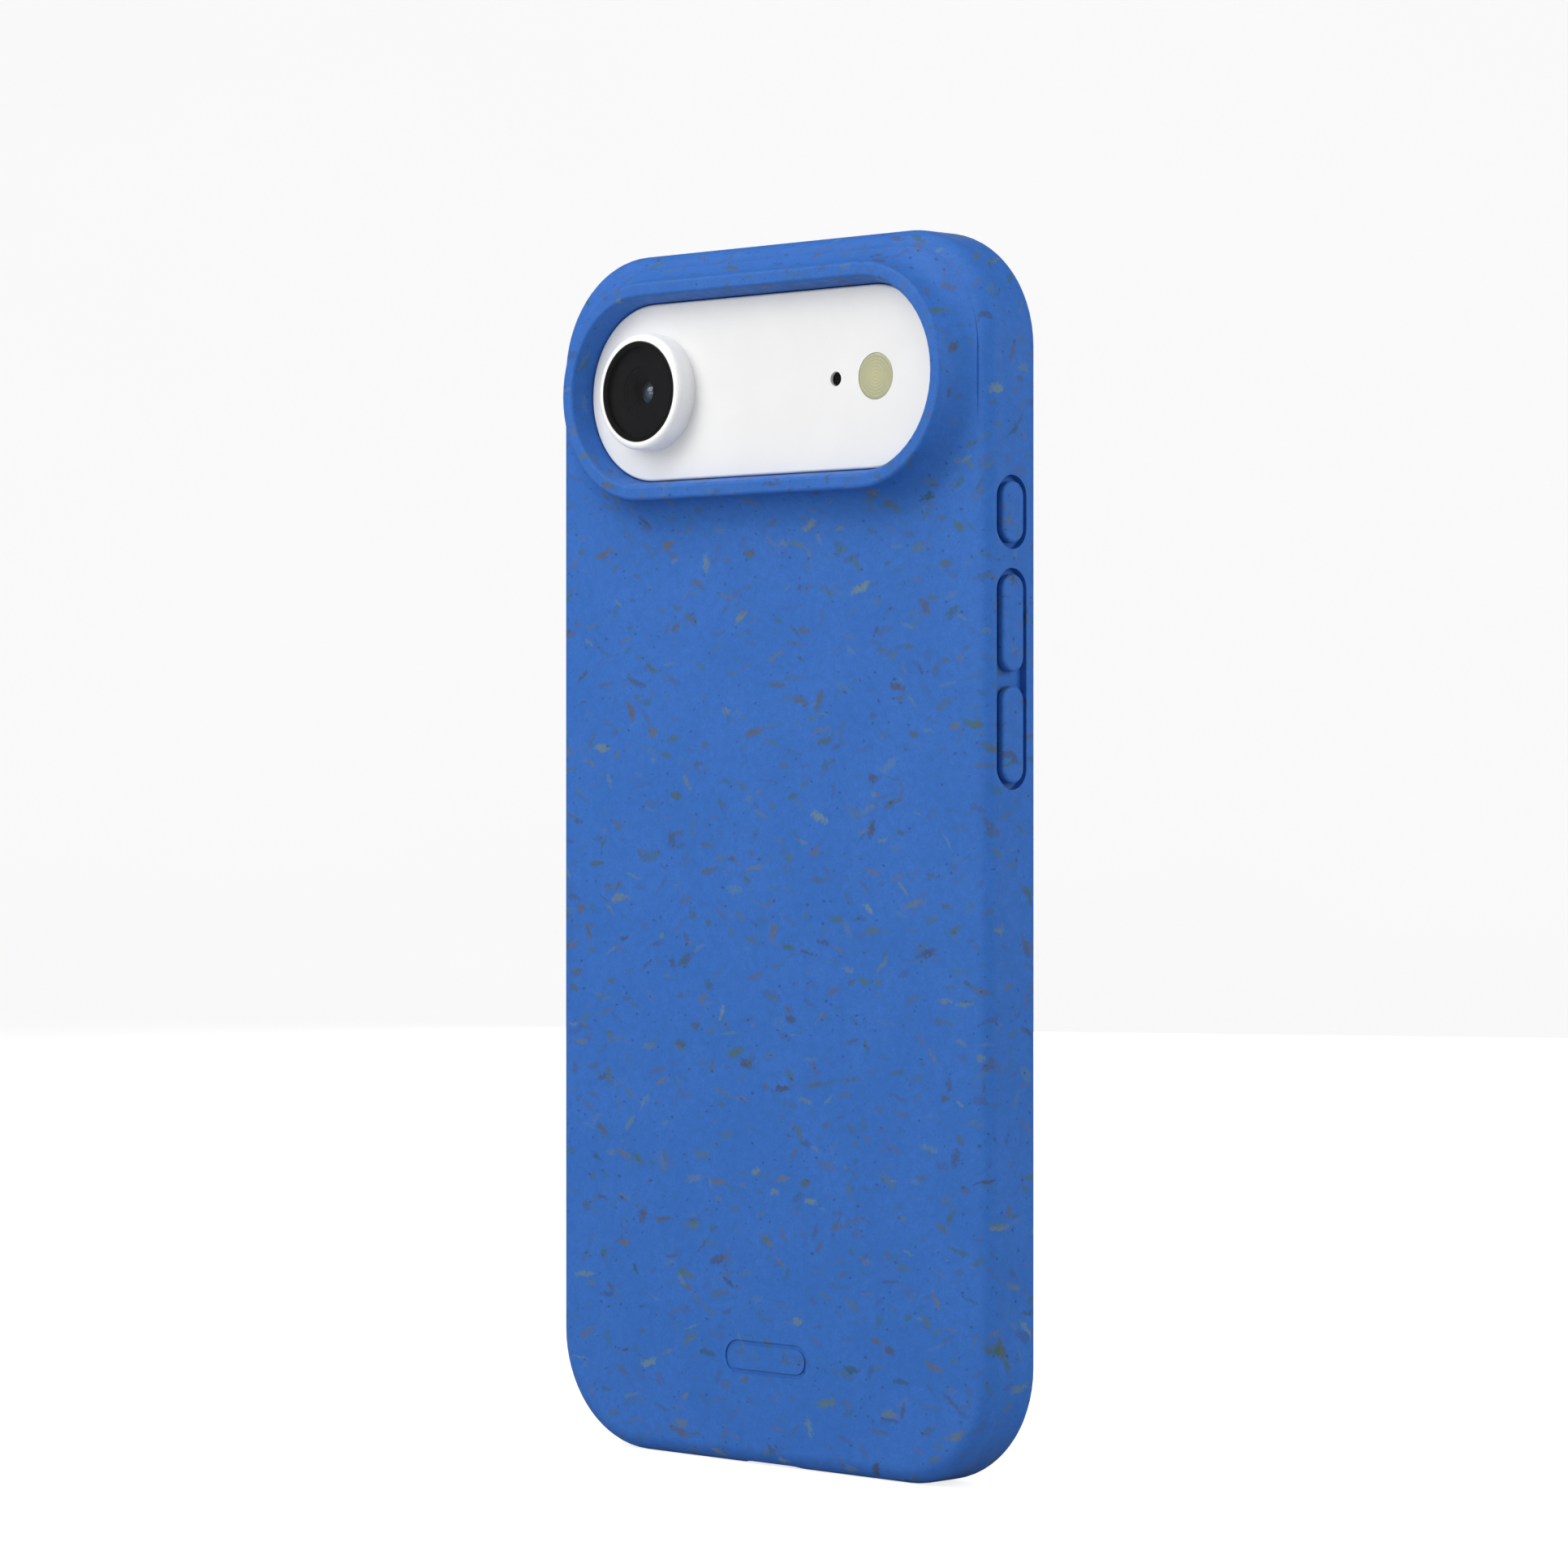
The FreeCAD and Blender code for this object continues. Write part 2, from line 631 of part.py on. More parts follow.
def split_spaces():
    deep = HALF_PHONE - SPLIT_DEPTH
    y0 = PHONE_FRONT_Y - PAST
    y1 = PHONE_BACK_Y + PAST
    spaces = []
    for z in SPLIT_SIDE_Z:
        spaces.append(block(deep, HALF_PHONE + PAST, y0, y1, z - SPLIT_W / 2, z + SPLIT_W / 2))
        spaces.append(block(-HALF_PHONE - PAST, -deep, y0, y1, z - SPLIT_W / 2, z + SPLIT_W / 2))
    for x in (-SPLIT_END_X, SPLIT_END_X):
        x0 = x - SPLIT_W / 2
        x1 = x + SPLIT_W / 2
        spaces.append(block(x0, x1, y0, y1, PHONE_TOP_Z - SPLIT_DEPTH, PHONE_TOP_Z + PAST))
        spaces.append(block(x0, x1, y0, y1, PHONE_BOTTOM_Z - PAST, PHONE_BOTTOM_Z + SPLIT_DEPTH))
    return spaces


def band_inside():
    """Cuts inside the band: the cavity and the two ledges for the glass."""
    return [
        phone_outline(BAND_WALL, SHELF_FRONT_Y - PAST, SHELF_BACK_Y + PAST),
        phone_outline(GLASS_INSET, PHONE_FRONT_Y - PAST, SHELF_FRONT_Y),
        phone_outline(GLASS_INSET, SHELF_BACK_Y, PHONE_BACK_Y + PAST),
    ]


def antenna_splits():
    blank = band_blank().cut(band_inside())
    return [whole(blank.common(space)) for space in split_spaces()]


def frame_band():
    band = band_blank().cut(band_inside())
    band = band.cut(split_spaces())
    band = band.cut(on_both_sides(key_recess))
    port = plate_z(
        PORT_OPENING_W + 2 * PORT_WALL + 2 * FIT, PORT_OPENING_T + 2 * PORT_WALL + 2 * FIT,
        PORT_OPENING_T / 2 + PORT_WALL + FIT, PHONE_BOTTOM_Z - PAST, INNER_BOTTOM_Z + PAST, 0.0, PORT_Y,
    )
    holes = [port]
    for x in mic_hole_places():
        holes.append(bottom_hole(MIC_HOLE_R, x, INNER_BOTTOM_Z + PAST))
    for side in (-1, 1):
        holes.append(bottom_screw_hole(side * BOTTOM_SCREW_X))
    holes.append(earpiece_slot(SHELF_FRONT_Y + 0.9))
    return whole(band.cut(holes))


def bottom_hole(radius, x, top_z):
    """Round hole up through the bottom of the band."""
    start_z = PHONE_BOTTOM_Z - PAST
    return Part.makeCylinder(radius, top_z - start_z, Vector(x, PHONE_MID_Y, start_z))


def bottom_screw_hole(x):
    head = bottom_hole(SCREW_HEAD_R + FIT, x, PHONE_BOTTOM_Z + 0.5)
    shank = bottom_hole(SCREW_SHANK_R + 0.02, x, INNER_BOTTOM_Z + PAST)
    return head.fuse(shank)


def bottom_screw(x):
    """Case screw with a five-lobed socket."""
    head_z = PHONE_BOTTOM_Z + 0.1
    head_t = 0.38
    head = Part.makeCylinder(SCREW_HEAD_R, head_t, Vector(x, PHONE_MID_Y, head_z))
    shank = Part.makeCylinder(SCREW_SHANK_R, 2.2, Vector(x, PHONE_MID_Y, head_z + 0.8 * head_t))
    lobe_r = 0.19 * SCREW_HEAD_R
    lobe_at = 0.28 * SCREW_HEAD_R
    lobes = []
    for n in range(SOCKET_LOBES):
        turn = 2 * math.pi * n / SOCKET_LOBES
        place = Vector(x + lobe_at * math.cos(turn), PHONE_MID_Y + lobe_at * math.sin(turn), head_z - 0.1)
        lobes.append(Part.makeCylinder(lobe_r, head_t, place))
    return whole(head.fuse(shank)).cut(lobes)


def earpiece_slot(inner_y):
    """Sound slot at the top edge of the front glass, from the front to inner_y."""
    return plate_y(2 * SLOT_HALF, SLOT_T, SLOT_T / 2, PHONE_FRONT_Y - PAST, inner_y, 0.0, SLOT_Z)


def front_glass():
    glass = phone_outline(GLASS_INSET + FIT, PHONE_FRONT_Y, GLASS_BACK_Y)
    glass = glass.makeFillet(GLASS_ROUND, edges_at_y(glass, PHONE_FRONT_Y))
    return whole(glass.cut(earpiece_slot(GLASS_BACK_Y + PAST)))


def earpiece_mesh():
    """Fine mesh in the sound slot."""
    y0 = PHONE_FRONT_Y + 3 * FIT
    height = SLOT_T - 2 * FIT
    mesh = plate_y(2 * SLOT_HALF - 2 * FIT, height, height / 2, y0, y0 + MESH_T, 0.0, SLOT_Z)
    pitch = 3.5 * MESH_HOLE_R
    columns = 13
    holes = []
    for n in range(-columns, columns + 1):
        for row in (-MESH_T, MESH_T):
            holes.append(disc(MESH_HOLE_R, PHONE_FRONT_Y, PHONE_FRONT_Y + PAST, pitch * n, SLOT_Z + row))
    return whole(mesh.cut(holes))


def display_gasket():
    """Adhesive frame between the front glass and the band's ledge."""
    outer = phone_outline(GLASS_INSET + 2 * FIT, GLASS_BACK_Y, SHELF_FRONT_Y)
    inner = phone_outline(BAND_WALL - FIT, GLASS_BACK_Y - PAST, SHELF_FRONT_Y + PAST)
    return whole(outer.cut([inner, earpiece_slot(SHELF_FRONT_Y + PAST)]))


def island_holes(y0, y1):
    """Openings for the front camera and the face sensor."""
    sensor_w = 7.4
    sensor_h = 4.4
    return [
        disc(SNOUT_R + 2 * FIT, y0, y1, FRONT_CAMERA_X, ISLAND_Z),
        plate_y(sensor_w, sensor_h, sensor_h / 2, y0, y1, FACE_SENSOR_X, ISLAND_Z),
    ]


def oled_panel():
    panel = phone_outline(BAND_WALL + 0.4, GLASS_BACK_Y, OLED_BACK_Y)
    return whole(panel.cut(island_holes(GLASS_BACK_Y - PAST, OLED_BACK_Y + PAST)))


def display_flex():
    """Ribbon from the display's back edge, folded over the mid plate's notch to its connector."""
    film = 0.1
    x0 = DISPLAY_FLEX_X - DISPLAY_FLEX_W / 2
    x1 = DISPLAY_FLEX_X + DISPLAY_FLEX_W / 2
    top_y = PLATE_BACK_Y + 1.0
    z0 = DISPLAY_FLEX_Z
    tail = block(x0, x1, OLED_BACK_Y, OLED_BACK_Y + film, z0 - 6.0, z0)
    riser = block(x0, x1, OLED_BACK_Y, top_y, z0, z0 + film)
    head = block(x0, x1, top_y - film, top_y, z0 - 4.0, z0 + film)
    plug_t = 0.6
    plug = block(x0 + 0.5, x1 - 0.5, top_y - film - plug_t, top_y - film, z0 - 3.6, z0 - 0.6)
    return whole(tail.fuse([riser, head, plug]))


def mid_plate():
    """Structural plate across the band, behind the display."""
    plate = phone_outline(BAND_WALL + FIT, PLATE_FRONT_Y, PLATE_BACK_Y)
    y0 = PLATE_FRONT_Y - PAST
    y1 = PLATE_BACK_Y + PAST
    cuts = island_holes(y0, y1)
    flex_slot_h = 1.4
    cuts.append(plate_y(DISPLAY_FLEX_W + 1.2, flex_slot_h, 0.6, y0, y1, DISPLAY_FLEX_X, DISPLAY_FLEX_Z + 0.2))
    cuts.append(block(-PORT_NOTCH_HALF, PORT_NOTCH_HALF, y0, y1, 0, PHONE_BOTTOM_Z + PORT_DEPTH + 0.6))
    cuts.append(plate_y(2 * SPEAKER_HALF - 3, 2.0, 1.0, y0, y1, 0.0, sum(SPEAKER_Z) / 2))
    for n in range(LIGHTENING_SLOTS):
        x = (n - (LIGHTENING_SLOTS - 1) / 2) * LIGHTENING_PITCH
        cuts.append(plate_y(LIGHTENING_W, LIGHTENING_H, LIGHTENING_H / 2, y0, y1, x, LIGHTENING_Z))
    posts = [disc(POST_R, PLATE_BACK_Y - 0.1, BOARD_FRONT_Y, x, z) for x, z in STANDOFFS]
    threads = [disc(BOARD_SCREW_R + 0.02, PLATE_BACK_Y, BOARD_FRONT_Y + PAST, x, z) for x, z in STANDOFFS]
    return whole(plate.cut(cuts).fuse(posts).cut(threads))


def battery_cell():
    height = CELL_Z[1] - CELL_Z[0]
    cell = plate_y(2 * CELL_HALF_W, height, CELL_CORNER_R, CELL_FRONT_Y, CELL_BACK_Y, 0.0, sum(CELL_Z) / 2)
    cell = cell.makeFillet(CELL_ROUND, edges_at_y(cell, CELL_FRONT_Y) + edges_at_y(cell, CELL_BACK_Y))
    terminal_w = 9.0
    terminal = plate_y(terminal_w, 1.4, 0.5, CELL_FRONT_Y + 0.9, CELL_FRONT_Y + 2.0,
                       BATTERY_TAB_X, CELL_Z[1] + 0.5)
    return whole(cell.fuse(terminal))


def battery_adhesive():
    """Stretch-release strips that hold the battery on the mid plate."""
    strip_w = 12.0
    end_gap = 7.0
    height = CELL_Z[1] - CELL_Z[0] - 2 * end_gap
    strips = []
    for n in (-1, 0, 1):
        x = n * STRIP_PITCH
        strips.append(plate_y(strip_w, height, 1.5, PLATE_BACK_Y, CELL_FRONT_Y, x, sum(CELL_Z) / 2))
    return strips


def battery_tab():
    """Flex from the battery's terminal up to the main board's connector."""
    film = 0.15
    half = 3.0
    z0 = CELL_Z[1] + 1.2
    z1 = z0 + 4.0
    y = CELL_FRONT_Y + 1.4
    top_y = BOARD_FRONT_Y - 0.02
    tail = block(BATTERY_TAB_X - half, BATTERY_TAB_X + half, y, y + film, z0, z1)
    riser = block(BATTERY_TAB_X - half, BATTERY_TAB_X + half, y, top_y, z1, z1 + film)
    plug = block(BATTERY_TAB_X - half - 0.5, BATTERY_TAB_X + half + 0.5, BOARD_FRONT_Y - 0.6, top_y,
                 z1 + film, z1 + 2.4)
    return whole(tail.fuse([riser, plug]))


def charging_coil():
    """Flat spiral of wide copper turns on a thin ferrite sheet."""
    sheet_t = 0.15
    front_y = COIL_BACK_Y - COIL_T
    turns = [disc(COIL_R + 1.0, front_y, front_y + sheet_t, 0.0, MAGNET_Z)]
    for n in range(COIL_TURNS):
        outer = COIL_R - COIL_PITCH * n
        turns.append(ring(outer, outer - COIL_WIRE_W, front_y + sheet_t, COIL_BACK_Y, 0.0, MAGNET_Z))
    return turns


def magnet_ring():
    """Arc magnets for the charger and the alignment bar below them."""
    y0 = COIL_BACK_Y - COIL_T
    circle = ring(MAGNET_R, MAGNET_R - MAGNET_W, y0, COIL_BACK_Y, 0.0, MAGNET_Z)
    half_gap = 0.2
    gaps = []
    for n in range(MAGNET_COUNT):
        gap = block(-half_gap, half_gap, y0 - PAST, COIL_BACK_Y + PAST,
                    MAGNET_Z + MAGNET_R - 7.0, MAGNET_Z + MAGNET_R + 3.0)
        gap.rotate(Vector(0, 0, MAGNET_Z), Vector(0, 1, 0), 360 * (n + 0.5) / MAGNET_COUNT)
        gaps.append(gap)
    arcs = circle.cut(gaps).Solids
    bar_w = 5.2
    bar_h = 20.0
    bar = plate_y(bar_w, bar_h, 0.6, y0, COIL_BACK_Y, 0.0, MAGNET_Z - ALIGN_BAR_DROP)
    return arcs + [bar]


def back_glass():
    glass = phone_outline(GLASS_INSET + FIT, BACK_INNER_Y, PHONE_BACK_Y)
    glass = glass.makeFillet(GLASS_ROUND, edges_at_y(glass, PHONE_BACK_Y))
    return whole(glass.cut(bar_pill(BAR_R + 0.04, BACK_INNER_Y - PAST, PHONE_BACK_Y + PAST)))


def back_gasket():
    """Adhesive frame between the back glass and the band's rear ledge."""
    outer = phone_outline(GLASS_INSET + 2 * FIT, SHELF_BACK_Y, BACK_INNER_Y)
    inner = phone_outline(BAND_WALL - FIT, SHELF_BACK_Y - PAST, BACK_INNER_Y + PAST)
    return whole(outer.cut(inner))


def camera_plateau():
    """The raised bar on the phone's back: a shell with a flange under the back glass."""
    bar = bar_pill(BAR_R, BACK_INNER_Y - 0.1, BAR_Y)
    bar = bar.makeFillet(BAR_EDGE_ROUND, edges_at_y(bar, BAR_Y))
    flange = bar_pill(BAR_R + FLANGE, BACK_INNER_Y - 0.3, BACK_INNER_Y - 0.02)
    hollow = bar_pill(BAR_R - BAR_WALL, BACK_INNER_Y - PAST, BAR_CEILING_Y)
    y0 = BAR_CEILING_Y - PAST
    y1 = BAR_Y + PAST
    holes = [
        disc(LENS_SKIRT_R + FIT, y0, y1, LENS_X, BAR_Z),
        disc(MIC_R, y0, y1, MIC_X, BAR_Z),
        disc(FLASH_R, y0, y1, FLASH_X, BAR_Z),
    ]
    return whole(bar.fuse(flange).cut([hollow] + holes))


def rear_lens_ring():
    """Metal ring that frames the rear lens window."""
    outer = disc(LENS_RING_R, BAR_Y, LENS_TOP_Y, LENS_X, BAR_Z)
    outer = outer.makeFillet(LENS_RING_ROUND, edges_at_y(outer, LENS_TOP_Y))
    skirt = disc(LENS_SKIRT_R, CAMERA_TOP_Y + 0.02, BAR_Y, LENS_X, BAR_Z)
    seat = disc(LENS_WINDOW_R + 0.03, SHROUD_TOP_Y, LENS_TOP_Y + PAST, LENS_X, BAR_Z)
    bore = disc(LENS_BORE_R, BAR_CEILING_Y - PAST, LENS_TOP_Y, LENS_X, BAR_Z)
    return whole(outer.fuse(skirt).cut([seat, bore]))


def rear_lens_window():
    window = disc(LENS_WINDOW_R, LENS_TOP_Y - LENS_WINDOW_T, LENS_TOP_Y, LENS_X, BAR_Z)
    return window.makeFillet(0.1, edges_at_y(window, LENS_TOP_Y))


def rear_lens_shroud():
    """Black stepped cone under the window that hides the module round the lens."""
    shroud = disc(LENS_BORE_R - FIT, SHROUD_TOP_Y - SHROUD_T, SHROUD_TOP_Y, LENS_X, BAR_Z)
    steps = [disc(SHROUD_HOLE_R, SHROUD_TOP_Y - PAST, SHROUD_TOP_Y, LENS_X, BAR_Z)]
    step_depth = 0.12
    for n in range(SHROUD_STEPS):
        floor_y = SHROUD_TOP_Y - step_depth * (n + 1)
        steps.append(disc(SHROUD_MOUTH_R - SHROUD_STEP * n, floor_y, SHROUD_TOP_Y + PAST, LENS_X, BAR_Z))
    return whole(shroud.cut(steps))


def flash_window():
    """Frosted window with ring prisms moulded in its underside."""
    top_y = BAR_Y + 0.02
    under_y = BAR_Y - FLASH_T
    window = disc(FLASH_R - 0.04, under_y, top_y, FLASH_X, BAR_Z)
    window = window.makeFillet(0.12, edges_at_y(window, top_y))
    pitch = 0.5
    rings = []
    for n in range(FLASH_RINGS):
        outer = 0.8 * FLASH_R - pitch * n
        rings.append(ring(outer, outer - pitch / 2, under_y, under_y + 0.15, FLASH_X, BAR_Z))
    return whole(window.cut(rings))


def rear_mic_mesh():
    y0 = BAR_Y - 0.6
    mesh = disc(MIC_R - 0.02, y0, y0 + 0.15, MIC_X, BAR_Z)
    circle_r = 0.5
    count = 6
    holes = [disc(MESH_HOLE_R, y0 - PAST, y0 + PAST, MIC_X, BAR_Z)]
    for n in range(count):
        turn = 2 * math.pi * n / count
        x = MIC_X + circle_r * math.cos(turn)
        z = BAR_Z + circle_r * math.sin(turn)
        holes.append(disc(MESH_HOLE_R, y0 - PAST, y0 + PAST, x, z))
    return whole(mesh.cut(holes))


def main_board():
    y0 = BOARD_FRONT_Y - PAST
    y1 = BOARD_BACK_Y + PAST
    board = bar_pill(BAR_R - 1.5, BOARD_FRONT_Y, BOARD_BACK_Y)
    keep = block(-HALF_PHONE, BOARD_END_X, y0, y1, BAR_Z - 2 * BAR_R, BAR_Z + 2 * BAR_R)
    holes = [disc(BOARD_SCREW_R + FIT, y0, y1, x, z) for x, z in STANDOFFS]
    return whole(board.common(keep).cut(holes))


def board_chips():
    """Chips on both faces of the main board, and the rear microphone."""
    chips = []
    for x0, x1, z0, z1, height in BACK_CHIPS:
        chips.append(block(x0, x1, BOARD_BACK_Y, BOARD_BACK_Y + height, BAR_Z + z0, BAR_Z + z1))
    for n in range(SMALL_CHIPS):
        x0 = BACK_CHIPS[0][0] + SMALL_CHIP_PITCH * n
        chips.append(block(x0, x0 + SMALL_CHIP, BOARD_BACK_Y, BOARD_BACK_Y + 0.5,
                           BAR_Z + SMALL_CHIP_Z, BAR_Z + SMALL_CHIP_Z + SMALL_CHIP))
    for x0, x1, z0, z1, height in FRONT_CHIPS:
        chips.append(block(x0, x1, BOARD_FRONT_Y - height, BOARD_FRONT_Y, BAR_Z + z0, BAR_Z + z1))
    mic_half_w = 1.3
    mic_half_h = 1.7
    chips.append(block(MIC_X - mic_half_w, MIC_X + mic_half_w, BOARD_BACK_Y, BOARD_BACK_Y + 1.2,
                       BAR_Z - mic_half_h, BAR_Z + mic_half_h))
    return chips


def board_shield():
    """Pressed metal can over the largest chips."""
    x0, x1, z0, z1 = CAN
    top = BOARD_BACK_Y + CAN_H
    can = block(x0, x1, BOARD_BACK_Y, top, z0, z1)
    can = can.makeFillet(0.6, upright_edges(can))
    room = block(x0 + CAN_WALL, x1 - CAN_WALL, BOARD_BACK_Y - PAST, top - CAN_WALL,
                 z0 + CAN_WALL, z1 - CAN_WALL)
    return whole(can.cut(room))


def upright_edges(box):
    """The edges of a flat box that run along its thickness."""
    return [edge for edge in box.Edges if edge.BoundBox.YLength > 1.0]


def board_screws():
    """Cross-head screws through the board into the mid plate's posts."""
    slot_half = BOARD_SCREW_R
    slot_w = 0.22
    y0 = BOARD_BACK_Y + 0.2
    y1 = BOARD_BACK_Y + PAST
    screws = []
    for x, z in STANDOFFS:
        head = disc(2 * BOARD_SCREW_R, BOARD_BACK_Y, BOARD_BACK_Y + 0.45, x, z)
        shank = disc(BOARD_SCREW_R, BOARD_FRONT_Y - 1.6, BOARD_BACK_Y + 0.1, x, z)
        across = block(x - slot_half, x + slot_half, y0, y1, z - slot_w / 2, z + slot_w / 2)
        upward = block(x - slot_w / 2, x + slot_w / 2, y0, y1, z - slot_half, z + slot_half)
        screws.append(whole(head.fuse(shank).cut([across, upward])))
    return screws


def flash_led():
    """Lamp board under the flash window, with its two emitters."""
    board_half = 3.2
    board_t = 0.5
    lamp = 1.6
    lamp_gap = 0.1
    y0 = BOARD_BACK_Y
    y1 = y0 + board_t
    parts = [square_y(board_half, y0, y1, 1.0, FLASH_X)]
    for x0 in (FLASH_X - lamp_gap - lamp, FLASH_X + lamp_gap):
        parts.append(block(x0, x0 + lamp, y1, y1 + board_t, BAR_Z - lamp / 2, BAR_Z + lamp / 2))
    return whole(parts[0].fuse(parts[1:]))


def square_y(half, y0, y1, radius=0.6, x=LENS_X, z=BAR_Z):
    return plate_y(2 * half, 2 * half, radius, y0, y1, x, z)


def rear_camera_housing():
    can = square_y(CAMERA_HALF, CAMERA_FLOOR_Y, CAMERA_TOP_Y)
    skin = 0.3
    room = square_y(CAMERA_HALF - CAMERA_WALL, CAMERA_FLOOR_Y + skin, CAMERA_TOP_Y - skin, 0.4)
    mouth = disc(BARREL_R + 0.7, CAMERA_TOP_Y - PAST, CAMERA_TOP_Y + PAST, LENS_X, BAR_Z)
    return whole(can.cut([room, mouth]))


def rear_camera_magnets():
    """Four focus magnets on the housing's walls, round the coil."""
    near, far = MAGNET_GAP
    half = 3.6
    magnets = []
    for n in range(4):
        magnet = block(LENS_X + near, LENS_X + far, FOCUS_COIL_Y[0] - 0.3, FOCUS_COIL_Y[1] + 0.5,
                       BAR_Z - half, BAR_Z + half)
        magnet.rotate(Vector(LENS_X, 0, BAR_Z), Vector(0, 1, 0), 90 * n)
        magnets.append(magnet)
    return magnets


def lens_barrel():
    barrel = disc(BARREL_R, BARREL_FOOT_Y, BARREL_TOP_Y, LENS_X, BAR_Z)
    barrel = barrel.makeFillet(0.4, edges_at_y(barrel, BARREL_TOP_Y))
    nose_t = 0.5
    bore = disc(BARREL_R - BARREL_WALL, BARREL_FOOT_Y - PAST, BARREL_TOP_Y - nose_t, LENS_X, BAR_Z)
    pupil = Part.makeCone(FRONT_LENS_R + 0.02, 2.0, nose_t + 0.1,
                          Vector(LENS_X, BARREL_TOP_Y - nose_t - 0.1, BAR_Z), Vector(0, 1, 0))
    return whole(barrel.cut([bore, pupil]))


def lens_element(y0, y1, bulge, radius):
    """One lens: a disc with its back face domed by bulge."""
    sphere_r = (radius ** 2 + bulge ** 2) / (2 * bulge)
    ball = Part.makeSphere(sphere_r, Vector(LENS_X, y1 - sphere_r, BAR_Z))
    return disc(radius, y0, y1, LENS_X, BAR_Z).common(ball)


def lens_elements():
    radius = BARREL_R - BARREL_WALL - 0.02
    lenses = []
    for n in range(LENS_COUNT):
        y0 = BARREL_FOOT_Y + 0.25 + LENS_PITCH * n
        lenses.append(lens_element(y0, y0 + 0.8 * LENS_PITCH, 0.35, radius))
    front_y = BARREL_TOP_Y - 1.1
    front = lens_element(front_y, BARREL_TOP_Y - 0.22, 0.5, FRONT_LENS_R)
    flange = disc(radius, front_y, front_y + 0.4, LENS_X, BAR_Z)
    lenses.append(whole(front.fuse(flange)))
    return lenses


def focus_coil():
    return ring(BARREL_R + 0.45, BARREL_R, FOCUS_COIL_Y[0], FOCUS_COIL_Y[1], LENS_X, BAR_Z)


def ois_x_frame():
    """Frame that carries the sensor sideways; the carrier slides up and down in it."""
    frame = square_y(SENSOR_FRAME_HALF, SENSOR_Y, SENSOR_Y + 0.6, 0.5)
    window = plate_y(2 * CARRIER_HALF + 2 * FIT, 2 * CARRIER_HALF + 0.4, 0.3,
                     SENSOR_Y - PAST, SENSOR_Y + PAST, LENS_X, BAR_Z)
    return whole(frame.cut(window))


def sensor_carrier():
    return square_y(CARRIER_HALF, SENSOR_Y + FIT, SENSOR_Y + CARRIER_TOP, 0.3)


def image_sensor():
    half_w = 5.0
    half_h = 3.9
    y = SENSOR_Y + CARRIER_TOP
    return block(LENS_X - half_w, LENS_X + half_w, y, y + 0.45, BAR_Z - half_h, BAR_Z + half_h)


def front_camera_housing():
    y1 = BOARD_FRONT_Y - 0.15
    can = square_y(FRONT_CAMERA_HALF, PLATE_BACK_Y + 0.02, y1, 0.5, FRONT_CAMERA_X, ISLAND_Z)
    snout = disc(SNOUT_R, SNOUT_TIP_Y, PLATE_BACK_Y + 0.1, FRONT_CAMERA_X, ISLAND_Z)
    room = disc(SNOUT_R - 0.35, GLASS_BACK_Y, y1 - 0.4, FRONT_CAMERA_X, ISLAND_Z)
    return whole(can.fuse(snout).cut(room))


def front_camera_barrel():
    """Lens barrel of the front camera, with its front opening towards the display."""
    outer_r = SNOUT_R - 0.42
    bore_r = 1.4
    y0 = GLASS_BACK_Y + 0.25
    barrel = disc(outer_r, y0, y0 + 2.6, FRONT_CAMERA_X, ISLAND_Z)
    pupil = Part.makeCone(1.1, 0.5, 0.5, Vector(FRONT_CAMERA_X, y0, ISLAND_Z), Vector(0, 1, 0))
    bore = disc(bore_r, y0 + 1.2, y0 + 5, FRONT_CAMERA_X, ISLAND_Z)
    return whole(barrel.cut([pupil, bore]))


def face_sensor_module():
    """Dot projector and infrared camera in one bracket."""
    bracket = plate_y(9.6, 5.6, 0.6, PLATE_BACK_Y + 0.02, BOARD_FRONT_Y - 1.05, FACE_SENSOR_X, ISLAND_Z)
    eye_x = 1.9
    eye_r = 0.9
    snouts = []
    eyes = []
    for side in (-1, 1):
        x = FACE_SENSOR_X + side * eye_x
        snouts.append(disc(1.5, SNOUT_TIP_Y, PLATE_BACK_Y + 0.1, x, ISLAND_Z))
        eyes.append(disc(eye_r, GLASS_BACK_Y, GLASS_BACK_Y + 0.5, x, ISLAND_Z))
    return whole(bracket.fuse(snouts).cut(eyes))


def speaker_box():
    z0, z1 = SPEAKER_Z
    y0 = PLATE_BACK_Y + 0.02
    y1 = SPEAKER_BACK_Y
    side = 0.5
    skin = 0.4
    box = block(-SPEAKER_HALF, SPEAKER_HALF, y0, y1, z0, z1)
    room = block(-SPEAKER_HALF + side, SPEAKER_HALF - side, y0 + skin, y1 - SPEAKER_LID,
                 z0 + skin, z1 - skin)
    vent_h = 1.6
    vent = plate_y(2 * SPEAKER_HALF - 3, vent_h, vent_h / 2, y0 - PAST, y0 + PAST, 0.0, (z0 + z1) / 2)
    return whole(box.cut([room, vent]))


def speaker_diaphragm():
    """Stiff cone plate with its voice coil, free to pump in and out."""
    z0, z1 = SPEAKER_Z
    z_mid = (z0 + z1) / 2
    y0 = PLATE_BACK_Y + 1.0
    film = 0.12
    width = 2 * SPEAKER_HALF - 1.3
    height = z1 - z0 - 1.0
    coil_w = width - 3.0
    coil_h = height - 0.6
    wall = 0.2
    plate = plate_y(width, height, height / 2 - 0.1, y0, y0 + film, 0.0, z_mid)
    coil = plate_y(coil_w, coil_h, coil_h / 2 - 0.1, y0, y0 + 0.7, 0.0, z_mid)
    hollow = plate_y(coil_w - 2 * wall, coil_h - 2 * wall, coil_h / 2 - 0.1 - wall,
                     y0 + film, y0 + PAST, 0.0, z_mid)
    return whole(plate.fuse(coil).cut(hollow))


